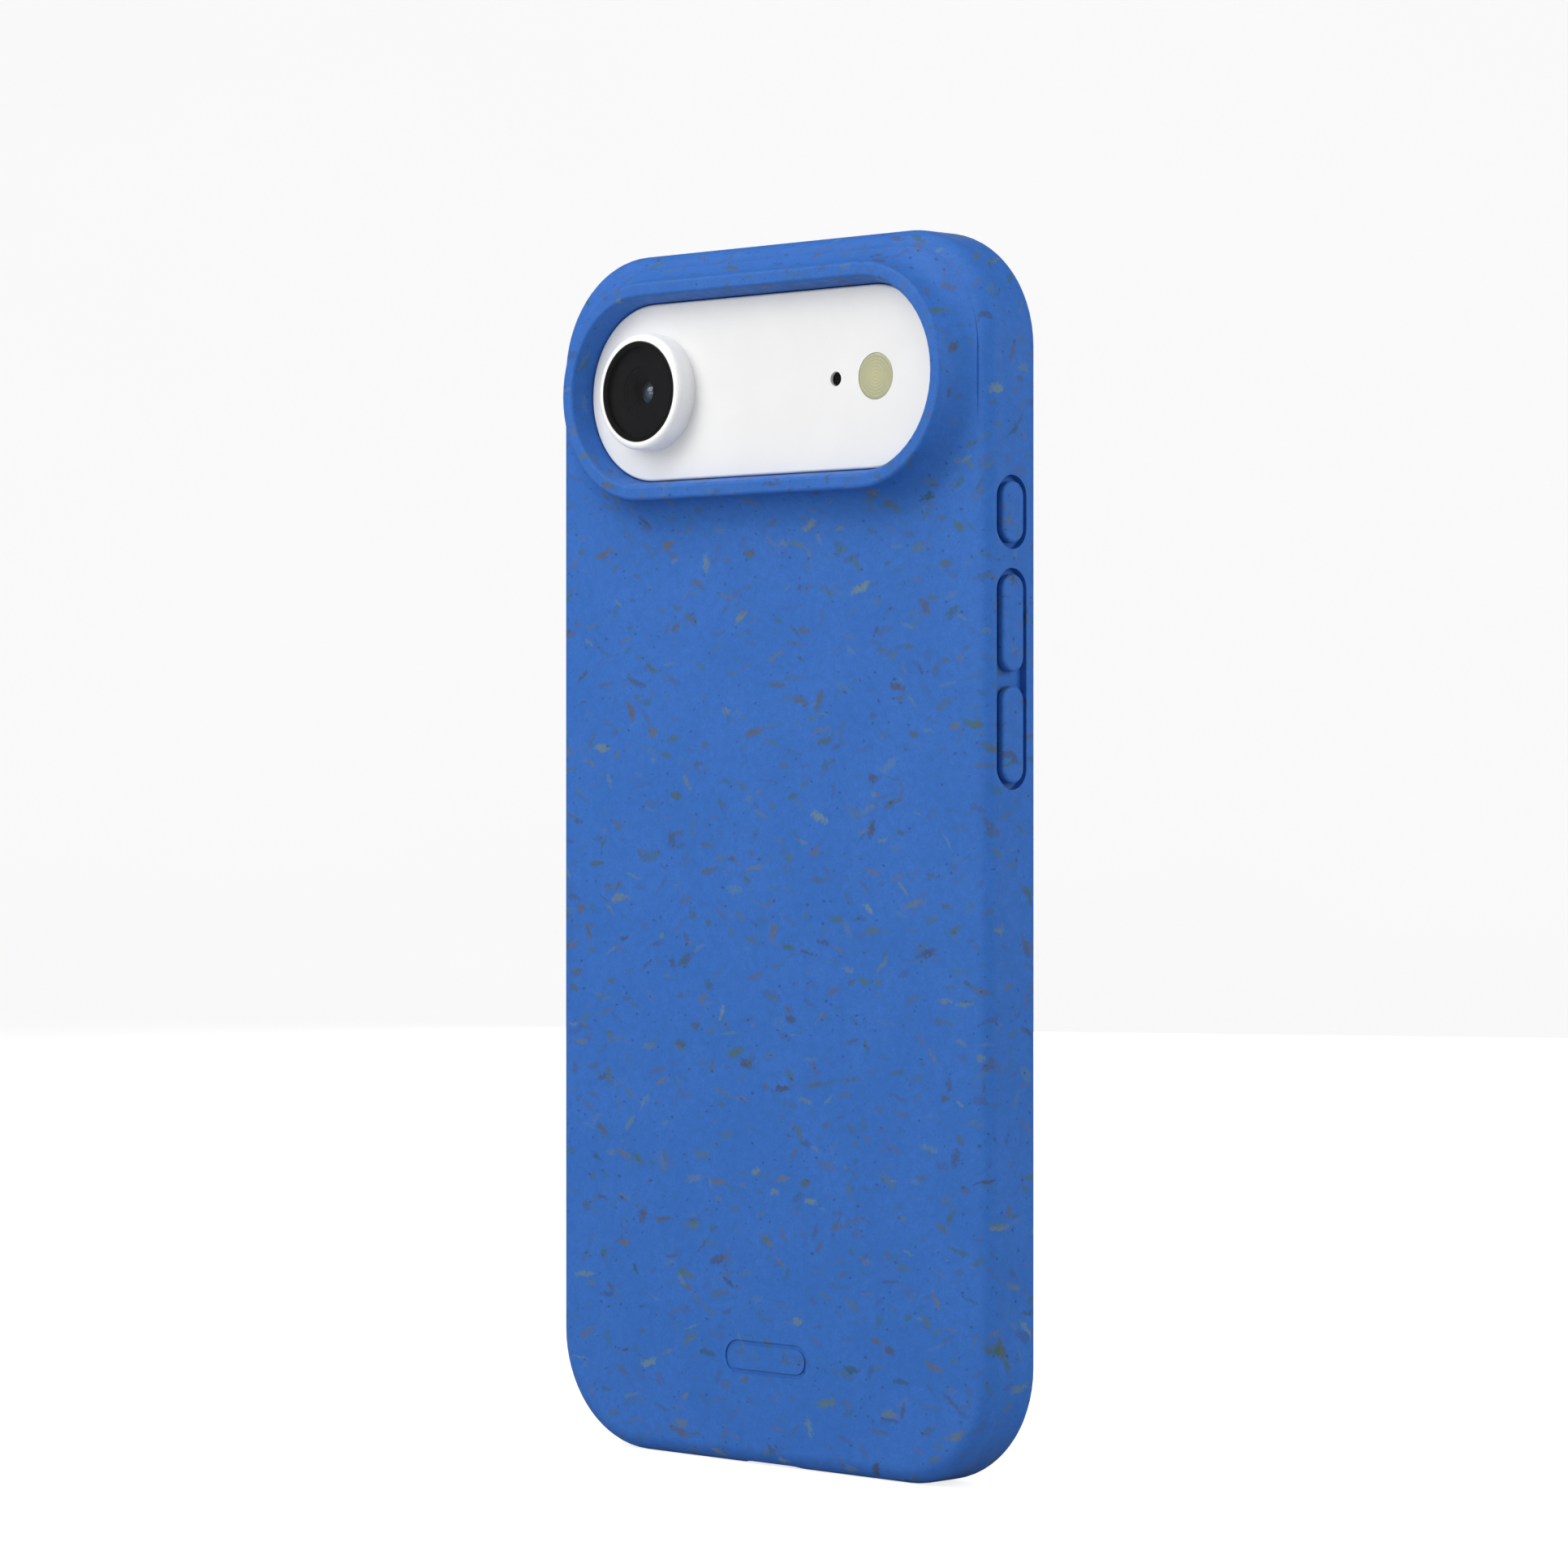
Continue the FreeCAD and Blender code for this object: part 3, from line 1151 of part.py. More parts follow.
def speaker_magnet():
    z0, z1 = SPEAKER_Z
    y1 = SPEAKER_BACK_Y - SPEAKER_LID
    width = 2 * SPEAKER_HALF - 5.4
    height = z1 - z0 - 2.1
    return plate_y(width, height, height / 2 - 0.1, y1 - 1.0, y1, 0.0, (z0 + z1) / 2)


def port_plate(growth, z0, z1):
    """Plate with the port's own outline, grown outward on every side."""
    return plate_z(PORT_OPENING_W + 2 * growth, PORT_OPENING_T + 2 * growth,
                   PORT_OPENING_T / 2 + growth, z0, z1, 0.0, PORT_Y)


def port_shell():
    outer = port_plate(PORT_WALL, PHONE_BOTTOM_Z + 0.1, PHONE_BOTTOM_Z + PORT_DEPTH + 0.4)
    inner = port_plate(0.0, PHONE_BOTTOM_Z - PAST, PHONE_BOTTOM_Z + PORT_DEPTH)
    flare = port_plate(0.15, PHONE_BOTTOM_Z - PAST, PHONE_BOTTOM_Z + 0.3)
    return whole(outer.cut([inner, flare]))


def port_tongue():
    root_z = PHONE_BOTTOM_Z + PORT_DEPTH
    tongue = plate_z(TONGUE_W, TONGUE_T, 0.3, root_z - TONGUE_L, root_z, 0.0, PORT_Y)
    base = port_plate(-0.02, root_z - TONGUE_BASE, root_z)
    return whole(tongue.fuse(base))


def port_contacts():
    """Contact strips on each face of the tongue."""
    root_z = PHONE_BOTTOM_Z + PORT_DEPTH
    half_w = 0.13
    strip_t = 0.05
    strips = []
    for n in range(CONTACTS_PER_FACE):
        x = CONTACT_PITCH * (n - (CONTACTS_PER_FACE - 1) / 2)
        for y0 in (PORT_Y + TONGUE_T / 2, PORT_Y - TONGUE_T / 2 - strip_t):
            strips.append(block(x - half_w, x + half_w, y0, y0 + strip_t,
                                root_z - TONGUE_L + 0.25, root_z - TONGUE_BASE))
    return strips


def bottom_mic_meshes():
    """Acoustic mesh strip behind each row of microphone holes."""
    z0 = INNER_BOTTOM_Z
    return [plate_z(7.6, 1.9, 0.6, z0, z0 + 0.15, side * MIC_HOLES_X) for side in (-1, 1)]


def port_board():
    """Bottom board behind the port, with its two microphones and the plug for the port's flex."""
    board_y = CELL_FRONT_Y
    board_t = 0.4
    board_z = 19.0
    board = plate_y(50.0, 5.0, 0.8, board_y, board_y + board_t, 0.0, board_z)
    plug = block(-4.0, 4.0, board_y + board_t, board_y + 3 * board_t, board_z - 1.6, board_z + 1.6)
    neck = block(-3.0, 3.0, board_y + 0.1, board_y + 0.25, PHONE_BOTTOM_Z + PORT_DEPTH + 0.4, board_z - 2.0)
    mic_half = 3.0
    solids = [whole(board.fuse([plug, neck]))]
    for side in (-1, 1):
        x = side * MIC_HOLES_X
        solids.append(block(x - mic_half, x + mic_half, PHONE_MID_Y - 1.0, PHONE_MID_Y + 1.0,
                            INNER_BOTTOM_Z + 0.3, INNER_BOTTOM_Z + 1.3))
    return solids


def haptic_case():
    x0, x1 = HAPTIC_X
    z0, z1 = HAPTIC_Z
    y0, y1 = HAPTIC_Y
    can = block(x0, x1, y0, y1, z0, z1)
    can = can.makeFillet(0.5, upright_edges(can))
    wall = HAPTIC_WALL
    return whole(can.cut(block(x0 + wall, x1 - wall, y0 + wall, y1 - wall, z0 + wall, z1 - wall)))


def haptic_mass():
    """Tungsten slug with its magnets, free to shake sideways."""
    clear = HAPTIC_WALL + 0.15
    slug = block(HAPTIC_X[0] + HAPTIC_END_GAP, HAPTIC_X[1] - HAPTIC_END_GAP,
                 HAPTIC_Y[0] + clear, HAPTIC_Y[1] - clear,
                 HAPTIC_Z[0] + clear, HAPTIC_Z[1] - clear)
    clearance = 0.3
    return slug.cut(haptic_coil_block(clearance + HAPTIC_TRAVEL, clearance))


def haptic_coil_block(grow_x, grow):
    """The fixed coil's block in the middle of the slug, grown on every side."""
    x_mid = sum(HAPTIC_X) / 2
    z_mid = sum(HAPTIC_Z) / 2
    half_x = 3.0 + grow_x
    half_z = 2.4 + grow
    y_top = HAPTIC_Y[1] - HAPTIC_WALL
    return block(x_mid - half_x, x_mid + half_x, y_top - 1.0 - grow, y_top + grow,
                 z_mid - half_z, z_mid + half_z)


def haptic_coil():
    y_top = HAPTIC_Y[1] - HAPTIC_WALL
    core = plate_y(2.6, 2.0, 0.5, y_top - 2 * PAST, y_top + PAST, sum(HAPTIC_X) / 2, sum(HAPTIC_Z) / 2)
    return whole(haptic_coil_block(0.0, 0.0).cut(core))


def haptic_springs():
    """Folded leaf spring at each end of the slug."""
    leaf = 0.12
    clear = HAPTIC_WALL + 0.5
    y0 = HAPTIC_Y[0] + clear
    y1 = HAPTIC_Y[1] - clear
    z0 = HAPTIC_Z[0] + clear
    z1 = HAPTIC_Z[1] - clear
    gaps = (
        (HAPTIC_X[0] + HAPTIC_WALL, HAPTIC_X[0] + HAPTIC_END_GAP),
        (HAPTIC_X[1] - HAPTIC_END_GAP, HAPTIC_X[1] - HAPTIC_WALL),
    )
    springs = []
    for x0, x1 in gaps:
        first = block(x0, x0 + leaf, y0, y1, z0, z1)
        last = block(x1 - leaf, x1, y0, y1, z0, z1)
        bend = block(x0, x1, y0, y1, z1 - leaf, z1)
        springs.append(whole(first.fuse([bend, last])))
    return springs


NODES = {
    "case_shell": case_shell,
    "case_action_cover": lambda: mirrored(case_cover(ACTION)),
    "case_volume_up_cover": lambda: mirrored(case_cover(VOLUME_UP)),
    "case_volume_down_cover": lambda: mirrored(case_cover(VOLUME_DOWN)),
    "case_side_cover": lambda: case_cover(POWER),
    "frame_band": frame_band,
    "antenna_splits": antenna_splits,
    "front_glass": front_glass,
    "oled_panel": oled_panel,
    "display_flex": display_flex,
    "mid_plate": mid_plate,
    "back_glass": back_glass,
    "glass_gaskets": lambda: [display_gasket(), back_gasket()],
    "camera_plateau": camera_plateau,
    "rear_lens_ring": rear_lens_ring,
    "rear_lens_window": rear_lens_window,
    "rear_lens_shroud": rear_lens_shroud,
    "flash_window": flash_window,
    "rear_mic_mesh": rear_mic_mesh,
    "action_key": lambda: mirrored(band_key(ACTION)),
    "volume_up_key": lambda: mirrored(band_key(VOLUME_UP)),
    "volume_down_key": lambda: mirrored(band_key(VOLUME_DOWN)),
    "side_key": lambda: band_key(POWER),
    "camera_control_key": camera_control_key,
    "switch_domes": lambda: on_both_sides(switch_dome),
    "switch_bases": lambda: on_both_sides(switch_base),
    "battery_cell": battery_cell,
    "battery_adhesive": battery_adhesive,
    "battery_tab": battery_tab,
    "charging_coil": charging_coil,
    "magnet_ring": magnet_ring,
    "main_board": main_board,
    "board_chips": board_chips,
    "board_shield": board_shield,
    "board_screws": board_screws,
    "flash_led": flash_led,
    "rear_camera_housing": rear_camera_housing,
    "rear_camera_magnets": rear_camera_magnets,
    "lens_barrel": lens_barrel,
    "lens_elements": lens_elements,
    "focus_coil": focus_coil,
    "ois_x_frame": ois_x_frame,
    "sensor_carrier": sensor_carrier,
    "image_sensor": image_sensor,
    "front_camera_housing": front_camera_housing,
    "front_camera_barrel": front_camera_barrel,
    "face_sensor_module": face_sensor_module,
    "speaker_box": speaker_box,
    "speaker_diaphragm": speaker_diaphragm,
    "speaker_magnet": speaker_magnet,
    "port_shell": port_shell,
    "port_tongue": port_tongue,
    "port_contacts": port_contacts,
    "sound_meshes": lambda: [earpiece_mesh()] + bottom_mic_meshes(),
    "bottom_screws": lambda: [bottom_screw(side * BOTTOM_SCREW_X) for side in (-1, 1)],
    "port_board": port_board,
    "haptic_case": haptic_case,
    "haptic_mass": haptic_mass,
    "haptic_coil": haptic_coil,
    "haptic_springs": haptic_springs,
}

os.makedirs("parts", exist_ok=True)
for name, make in NODES.items():
    shape = make()
    if isinstance(shape, list):
        shape = Part.makeCompound([solid for item in shape for solid in item.Solids])
    shape.exportStep(f"parts/{name}.step")
    box = shape.BoundBox
    print(f"{name}: {len(shape.Solids)} solids, valid {shape.isValid()}, "
          f"{box.XLength:.2f} x {box.YLength:.2f} x {box.ZLength:.2f} mm")
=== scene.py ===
import json
import math

import bmesh
import bpy
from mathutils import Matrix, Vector


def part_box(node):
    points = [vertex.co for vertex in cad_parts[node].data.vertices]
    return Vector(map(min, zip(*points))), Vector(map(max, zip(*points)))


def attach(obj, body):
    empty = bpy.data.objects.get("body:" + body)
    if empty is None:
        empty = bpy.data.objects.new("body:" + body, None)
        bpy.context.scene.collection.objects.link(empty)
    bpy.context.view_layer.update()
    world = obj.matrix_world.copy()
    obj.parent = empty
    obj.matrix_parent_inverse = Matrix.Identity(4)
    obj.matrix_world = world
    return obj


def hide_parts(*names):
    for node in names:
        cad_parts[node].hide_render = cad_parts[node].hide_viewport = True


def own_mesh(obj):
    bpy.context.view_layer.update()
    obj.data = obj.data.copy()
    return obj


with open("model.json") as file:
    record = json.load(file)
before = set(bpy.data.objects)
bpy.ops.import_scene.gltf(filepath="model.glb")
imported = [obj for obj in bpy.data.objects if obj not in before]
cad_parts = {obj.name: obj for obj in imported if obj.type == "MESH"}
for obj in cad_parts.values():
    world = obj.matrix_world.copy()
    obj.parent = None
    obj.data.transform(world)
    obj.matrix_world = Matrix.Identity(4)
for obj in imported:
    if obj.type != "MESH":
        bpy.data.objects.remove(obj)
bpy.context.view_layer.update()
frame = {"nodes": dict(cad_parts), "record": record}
nodes = frame["nodes"]
scene = bpy.context.scene
MM = 0.001

# Places taken from the frame
shell_low, shell_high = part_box("case_shell")
window_low, window_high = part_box("rear_lens_window")
flash_low, flash_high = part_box("flash_window")
glass_low, glass_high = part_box("front_glass")
lens_centre = (window_low + window_high) / 2
flash_centre = (flash_low + flash_high) / 2
lens_radius = (window_high.x - window_low.x) / 2
case_middle = (shell_low + shell_high) / 2


# ---------------------------------------------------------------- materials

class Finish:
    """A node material with short calls for the nodes the finishes share. Values are numbers or sockets."""

    def __init__(self, name, metal=0.0):
        self.material = bpy.data.materials.new(name)
        self.material.use_nodes = True
        self.tree = self.material.node_tree
        self.surface = self.tree.nodes["Principled BSDF"]
        self.output = self.tree.nodes["Material Output"]
        self.place = self.add("ShaderNodeTexCoord").outputs["Object"]
        self.put(self.surface.inputs["Metallic"], metal)

    def add(self, kind, **settings):
        node = self.tree.nodes.new(kind)
        for key, value in settings.items():
            setattr(node, key, value)
        return node

    def put(self, socket, value):
        if isinstance(value, bpy.types.NodeSocket):
            self.tree.links.new(value, socket)
        elif socket.type == "RGBA" and len(value) == 3:
            socket.default_value = (*value, 1.0)
        else:
            socket.default_value = value

    def maths(self, operation, *values):
        node = self.add("ShaderNodeMath", operation=operation)
        for socket, value in zip(node.inputs, values):
            self.put(socket, value)
        return node.outputs["Value"]

    def vectors(self, operation, *values, out="Vector"):
        node = self.add("ShaderNodeVectorMath", operation=operation)
        for socket, value in zip(node.inputs, values):
            self.put(socket, value)
        return node.outputs[out]

    def noise(self, size, detail, stretch=(1.0, 1.0, 1.0)):
        """Noise whose features are about size metres across, closer together along a stretched axis."""
        place = self.vectors("MULTIPLY", self.place, stretch)
        node = self.add("ShaderNodeTexNoise")
        self.put(node.inputs["Vector"], place)
        self.put(node.inputs["Scale"], 1.0 / size)
        self.put(node.inputs["Detail"], detail)
        return node.outputs["Fac"]

    def between(self, value, low, high, to_low=0.0, to_high=1.0):
        """value mapped from low..high to to_low..to_high, held at the ends."""
        node = self.add("ShaderNodeMapRange", interpolation_type="SMOOTHSTEP")
        for key, number in (("Value", value), ("From Min", low), ("From Max", high),
                            ("To Min", to_low), ("To Max", to_high)):
            self.put(node.inputs[key], number)
        return node.outputs["Result"]

    def mix(self, share, first, second):
        """Colour between first and second, all second at a share of 1."""
        node = self.add("ShaderNodeMix", data_type="RGBA")
        sockets = [s for s in node.inputs if s.type == "RGBA"]
        self.put(node.inputs["Factor"], share)
        self.put(sockets[0], first)
        self.put(sockets[1], second)
        return [s for s in node.outputs if s.type == "RGBA"][0]

    def ramp(self, value, stops):
        node = self.add("ShaderNodeValToRGB")
        self.put(node.inputs["Fac"], value)
        points = node.color_ramp.elements
        while len(points) < len(stops):
            points.new(0.5)
        for point, (position, colour) in zip(points, stops):
            point.position = position
            point.color = (*colour, 1.0)
        return node.outputs["Color"]

    def bump(self, height, distance, strength):
        node = self.add("ShaderNodeBump")
        self.put(node.inputs["Height"], height)
        self.put(node.inputs["Distance"], distance)
        self.put(node.inputs["Strength"], strength)
        return node.outputs["Normal"]

    def paint(self, colour, rough, normal=None, **others):
        self.put(self.surface.inputs["Base Color"], colour)
        self.put(self.surface.inputs["Roughness"], rough)
        if normal is not None:
            self.put(self.surface.inputs["Normal"], normal)
        for key, value in others.items():
            self.put(self.surface.inputs[key.replace("_", " ")], value)
        return self.material


# A fibre's half length and half width, as shares of the sizes asked for: least, and spread above it
FIBRE_LENGTHS = (0.45, 0.8)
FIBRE_WIDTHS = (0.5, 0.7)
# Ragged outline: size of its notches, and how far they cut in and out as a share of the half size
NOTCH = 0.45 * MM
NOTCH_REACH = 0.5
# Where a fibre fades out: from its middle to its outline, and from the surface down, in cells
OUTLINE_FADE = (0.05, 1.35)
DEPTH_FADE = (0.15, 0.42)
# How much a fibre's heading leans to each axis: most of them lie across the case
FIBRE_LIE = (1.7, 0.9, 0.50)
# Factors that draw further random numbers from a fibre's own one
WIDTH_DRAW = 3.7
PRESENCE_DRAW = 7.31
COVER_DRAW = 17.3
COLOUR_DRAW = 29.7


def fibres(finish, place, cell, half_length, half_width, share):
    """Plant fibres lying at the surface and just under it.

    Each cell of space holds one fibre, laid flat against the surface. Gives how much of a fibre is here,
    and a random number that is the fibre's own.
    """
    scaled = finish.vectors("MULTIPLY", place, (1 / cell, 1 / cell, 1 / cell))
    cells = finish.add("ShaderNodeTexVoronoi")
    finish.put(cells.inputs["Vector"], scaled)
    finish.put(cells.inputs["Scale"], 1.0)
    luck = finish.add("ShaderNodeTexWhiteNoise", noise_dimensions="3D")
    finish.put(luck.inputs["Vector"], cells.outputs["Color"])
    own = luck.outputs["Value"]
    outward = finish.add("ShaderNodeNewGeometry").outputs["Normal"]
    away = finish.vectors("SUBTRACT", scaled, cells.outputs["Position"])
    depth = finish.maths("ABSOLUTE", finish.vectors("DOT_PRODUCT", away, outward, out="Value"))
    away = flattened(finish, away, outward)
    heading = finish.vectors("SUBTRACT", luck.outputs["Color"], (0.5, 0.5, 0.5))
    heading = finish.vectors("MULTIPLY", heading, FIBRE_LIE)
    heading = finish.vectors("NORMALIZE", flattened(finish, heading, outward))
    along = finish.vectors("DOT_PRODUCT", away, heading, out="Value")
    along_squared = finish.maths("MULTIPLY", along, along)
    away_squared = finish.vectors("DOT_PRODUCT", away, away, out="Value")
    across_squared = finish.maths("SUBTRACT", away_squared, along_squared)
    reach = spread(finish, own, FIBRE_LENGTHS, half_length / cell)
    width = spread(finish, random_again(finish, own, WIDTH_DRAW), FIBRE_WIDTHS, half_width / cell)
    lengthwise = finish.maths("DIVIDE", along_squared, finish.maths("MULTIPLY", reach, reach))
    sideways = finish.maths("DIVIDE", across_squared, finish.maths("MULTIPLY", width, width))
    ragged = finish.between(finish.noise(NOTCH, 3.0), 0.3, 0.7, -NOTCH_REACH, NOTCH_REACH)
    edge = finish.maths("ADD", finish.maths("ADD", lengthwise, sideways), ragged)
    inside = finish.between(edge, *OUTLINE_FADE, 1.0, 0.0)
    shallow = finish.between(depth, *DEPTH_FADE, 1.0, 0.0)
    chosen = finish.maths("LESS_THAN", random_again(finish, own, PRESENCE_DRAW), share)
    return finish.maths("MULTIPLY", finish.maths("MULTIPLY", inside, shallow), chosen), own


def flattened(finish, vector, outward):
    """The part of a vector that lies along the surface."""
    height = finish.vectors("DOT_PRODUCT", vector, outward, out="Value")
    rise = finish.add("ShaderNodeVectorMath", operation="SCALE")
    finish.put(rise.inputs[0], outward)
    finish.put(rise.inputs["Scale"], height)
    return finish.vectors("SUBTRACT", vector, rise.outputs["Vector"])


def spread(finish, luck, least_and_spread, size):
    """A size drawn between the least and the greatest of its kind."""
    least, above = least_and_spread
    return finish.maths("MULTIPLY_ADD", luck, above * size, least * size)


def random_again(finish, own, factor):
    """Another random number from 0 to 1, made from a fibre's own number."""
    return finish.maths("FRACT", finish.maths("MULTIPLY", own, factor))


# Colours of the flax: straw, leaf, husk and bast, each with the share of fibres it starts at
FLAX = (
    (0.0, (0.105, 0.092, 0.062)),
    (0.20, (0.040, 0.110, 0.075)),
    (0.40, (0.085, 0.140, 0.110)),
    (0.55, (0.050, 0.050, 0.060)),
    (0.72, (0.120, 0.115, 0.080)),
    (0.88, (0.140, 0.230, 0.230)),
    (1.0, (0.025, 0.065, 0.055)),
)
# Three layers of fibres: one to a cell, half sizes, share of cells that hold one, how far the layer is
# shifted from the others, and how far its fullest colour hides the blue
FIBRE_LAYERS = (
    {"cell": 4.0 * MM, "half_length": 1.70 * MM, "half_width": 0.66 * MM, "share": 0.72,
     "shift": (0.0, 0.0, 0.0), "strength": 0.80},
    {"cell": 2.9 * MM, "half_length": 1.25 * MM, "half_width": 0.50 * MM, "share": 0.60,
     "shift": (0.131, 0.057, 0.211), "strength": 0.70},
    {"cell": 3.3 * MM, "half_length": 1.50 * MM, "half_width": 0.36 * MM, "share": 0.62,
     "shift": (0.317, 0.223, 0.019), "strength": 0.60},
)
# A layer's faintest fibre, as a share of its fullest
FAINTEST = 0.35
# Dark specks between the fibres
SPECK = {"cell": 2.2 * MM, "half_length": 0.28 * MM, "half_width": 0.20 * MM, "share": 0.6}
SPECK_SHIFT = (0.071, 0.411, 0.157)
SPECK_COLOUR = (0.020, 0.050, 0.120)
SPECK_STRENGTH = 0.6
# How fibres bend: size of a bend, and how far it pushes them
CURL_SIZE = 1.5 * MM
CURL_REACH = 1.1 * MM


def curled(finish):
    """The place, pushed about a little, so that fibres bend."""
    curl = finish.add("ShaderNodeTexNoise")
    finish.put(curl.inputs["Vector"], finish.place)
    finish.put(curl.inputs["Scale"], 1 / CURL_SIZE)
    push = finish.vectors("SUBTRACT", curl.outputs["Color"], (0.5, 0.5, 0.5))
    push = finish.vectors("MULTIPLY", push, (CURL_REACH, CURL_REACH, CURL_REACH))
    return finish.vectors("ADD", finish.place, push)


def case_finish():
    """Matt blue bioplastic: fine grain, soft mottling, and flecks of flax at and just under the surface."""
    finish = Finish("case_blue")
    mottle = finish.noise(9 * MM, 3.0)
    blotch = finish.noise(1.3 * MM, 3.0)
    grain = finish.noise(0.25 * MM, 4.0)
    blue = finish.mix(finish.between(mottle, 0.35, 0.65), (0.031, 0.144, 0.505), (0.036, 0.153, 0.530))
    blue = finish.mix(finish.between(blotch, 0.35, 0.7, 0.0, 0.40), blue, (0.026, 0.118, 0.395))
    blue = finish.mix(finish.between(grain, 0.3, 0.7, 0.0, 0.40), blue, (0.022, 0.108, 0.385))
    bent = curled(finish)
    for layer in FIBRE_LAYERS:
        place = finish.vectors("ADD", bent, layer["shift"])
        inside, own = fibres(finish, place, layer["cell"], layer["half_length"], layer["half_width"],
                             layer["share"])
        strength = layer["strength"]
        cover = random_again(finish, own, COVER_DRAW)
        cover = finish.between(cover, 0.0, 1.0, FAINTEST * strength, strength)
        colour = finish.ramp(random_again(finish, own, COLOUR_DRAW), FLAX)
        blue = finish.mix(finish.maths("MULTIPLY", inside, cover), blue, colour)
    speck_place = finish.vectors("ADD", finish.place, SPECK_SHIFT)
    specks, _ = fibres(finish, speck_place, **SPECK)
    blue = finish.mix(finish.maths("MULTIPLY", specks, SPECK_STRENGTH), blue, SPECK_COLOUR)
    height = finish.maths("ADD", grain, finish.maths("MULTIPLY", finish.noise(0.8 * MM, 3.0), 0.8))
    rough = finish.between(finish.noise(1.6 * MM, 3.0), 0.3, 0.7, 0.52, 0.64)
    return finish.paint(blue, rough, finish.bump(height, 0.02 * MM, 0.6), Specular_IOR_Level=0.20)


def metal_finish(name, tint, rough, brushed=(1.0, 1.0, 1.0), grain=0.35 * MM):
    """Metal with a fine brushed grain, slow stains and a little wear in its shine."""
    finish = Finish(name, metal=1.0)
    lines = finish.noise(grain, 4.0, stretch=brushed)
    stain = finish.noise(6 * MM, 3.0)
    dark = tuple(0.82 * c for c in tint)
    colour = finish.mix(finish.between(stain, 0.3, 0.7, 0.0, 0.6), tint, dark)
    shine = finish.between(lines, 0.25, 0.75, 0.75 * rough, 1.35 * rough)
    return finish.paint(colour, shine, finish.bump(lines, 0.006 * MM, 0.5))


def plastic_finish(name, tint, rough, grain=0.3 * MM, relief=0.01 * MM):
    """Moulded plastic: spark-eroded grain and slight changes of tone."""
    finish = Finish(name)
    texture = finish.noise(grain, 3.0)
    tone = finish.noise(5 * MM, 2.0)
    dark = tuple(0.8 * c for c in tint)
    colour = finish.mix(finish.between(tone, 0.35, 0.65, 0.0, 0.7), tint, dark)
    shine = finish.between(texture, 0.3, 0.7, 0.85 * rough, 1.15 * rough)
    return finish.paint(colour, shine, finish.bump(texture, relief, 0.6))


def white_glass_finish():
    """White back glass of the camera bar: colour just under a clear polished skin."""
    finish = Finish("plateau_white")
    cloud = finish.noise(9 * MM, 2.0)
    dust = finish.noise(0.35 * MM, 3.0)
    colour = finish.mix(finish.between(cloud, 0.3, 0.7), (0.835, 0.835, 0.825), (0.855, 0.855, 0.845))
    colour = finish.mix(finish.between(dust, 0.66, 0.8, 0.0, 0.08), colour, (0.5, 0.5, 0.48))
    rough = finish.between(finish.noise(3 * MM, 3.0), 0.3, 0.7, 0.28, 0.40)
    relief = finish.bump(dust, 0.003 * MM, 0.4)
    return finish.paint(colour, rough, relief, Coat_Weight=0.4, Coat_Roughness=0.12)


def white_ring_finish():
    """Bright white lens ring: a satin coat with a trace of grain."""
    finish = Finish("ring_white")
    grain = finish.noise(0.15 * MM, 3.0)
    stain = finish.noise(3 * MM, 2.0)
    colour = finish.mix(finish.between(stain, 0.35, 0.65), (0.985, 0.985, 0.98), (0.965, 0.965, 0.96))
    rough = finish.between(grain, 0.3, 0.7, 0.26, 0.36)
    return finish.paint(colour, rough, finish.bump(grain, 0.003 * MM, 0.4), Coat_Weight=0.3)


def clear_part(finish, tint, printed, clearness):
    """Lets light straight through by clearness, in that tint, apart from where the glass is printed."""
    clear = finish.add("ShaderNodeBsdfTransparent")
    finish.put(clear.inputs["Color"], tint)
    seen = finish.add("ShaderNodeMixShader")
    finish.put(seen.inputs["Fac"], finish.maths("MULTIPLY_ADD", printed, -clearness, clearness))
    finish.put(seen.inputs[1], finish.surface.outputs["BSDF"])
    finish.put(seen.inputs[2], clear.outputs["BSDF"])
    finish.put(finish.output.inputs["Surface"], seen.outputs["Shader"])


def radius_about(finish, centre):
    """Distance from the line that runs through centre from the front of the phone to its back."""
    offset = finish.vectors("SUBTRACT", finish.place, tuple(centre))
    flat = finish.vectors("MULTIPLY", offset, (1.0, 0.0, 1.0))
    return finish.vectors("LENGTH", flat, out="Value")


# Printed border of the lens window: where it starts and is full, inwards from the window's edge
BORDER_STARTS = 0.75 * MM
BORDER_FULL = 0.62 * MM


def window_finish():
    """Rear lens window: clear in the middle, with a printed black border and a faint coating."""
    finish = Finish("lens_glass")
    radius = radius_about(finish, lens_centre)
    smudge = finish.noise(2.4 * MM, 4.0)
    border = finish.between(radius, lens_radius - BORDER_STARTS, lens_radius - BORDER_FULL)
    colour = finish.mix(border, (0.032, 0.032, 0.033), (0.003, 0.003, 0.003))
    finish.paint(colour, finish.between(smudge, 0.3, 0.7, 0.03, 0.10), Specular_IOR_Level=0.35)
    clear_part(finish, (0.92, 0.93, 0.94), border, 0.82)
    return finish.material


FLASH_RING_PITCH = 0.42 * MM
LAMP_FADE = (0.4 * MM, 2.8 * MM)


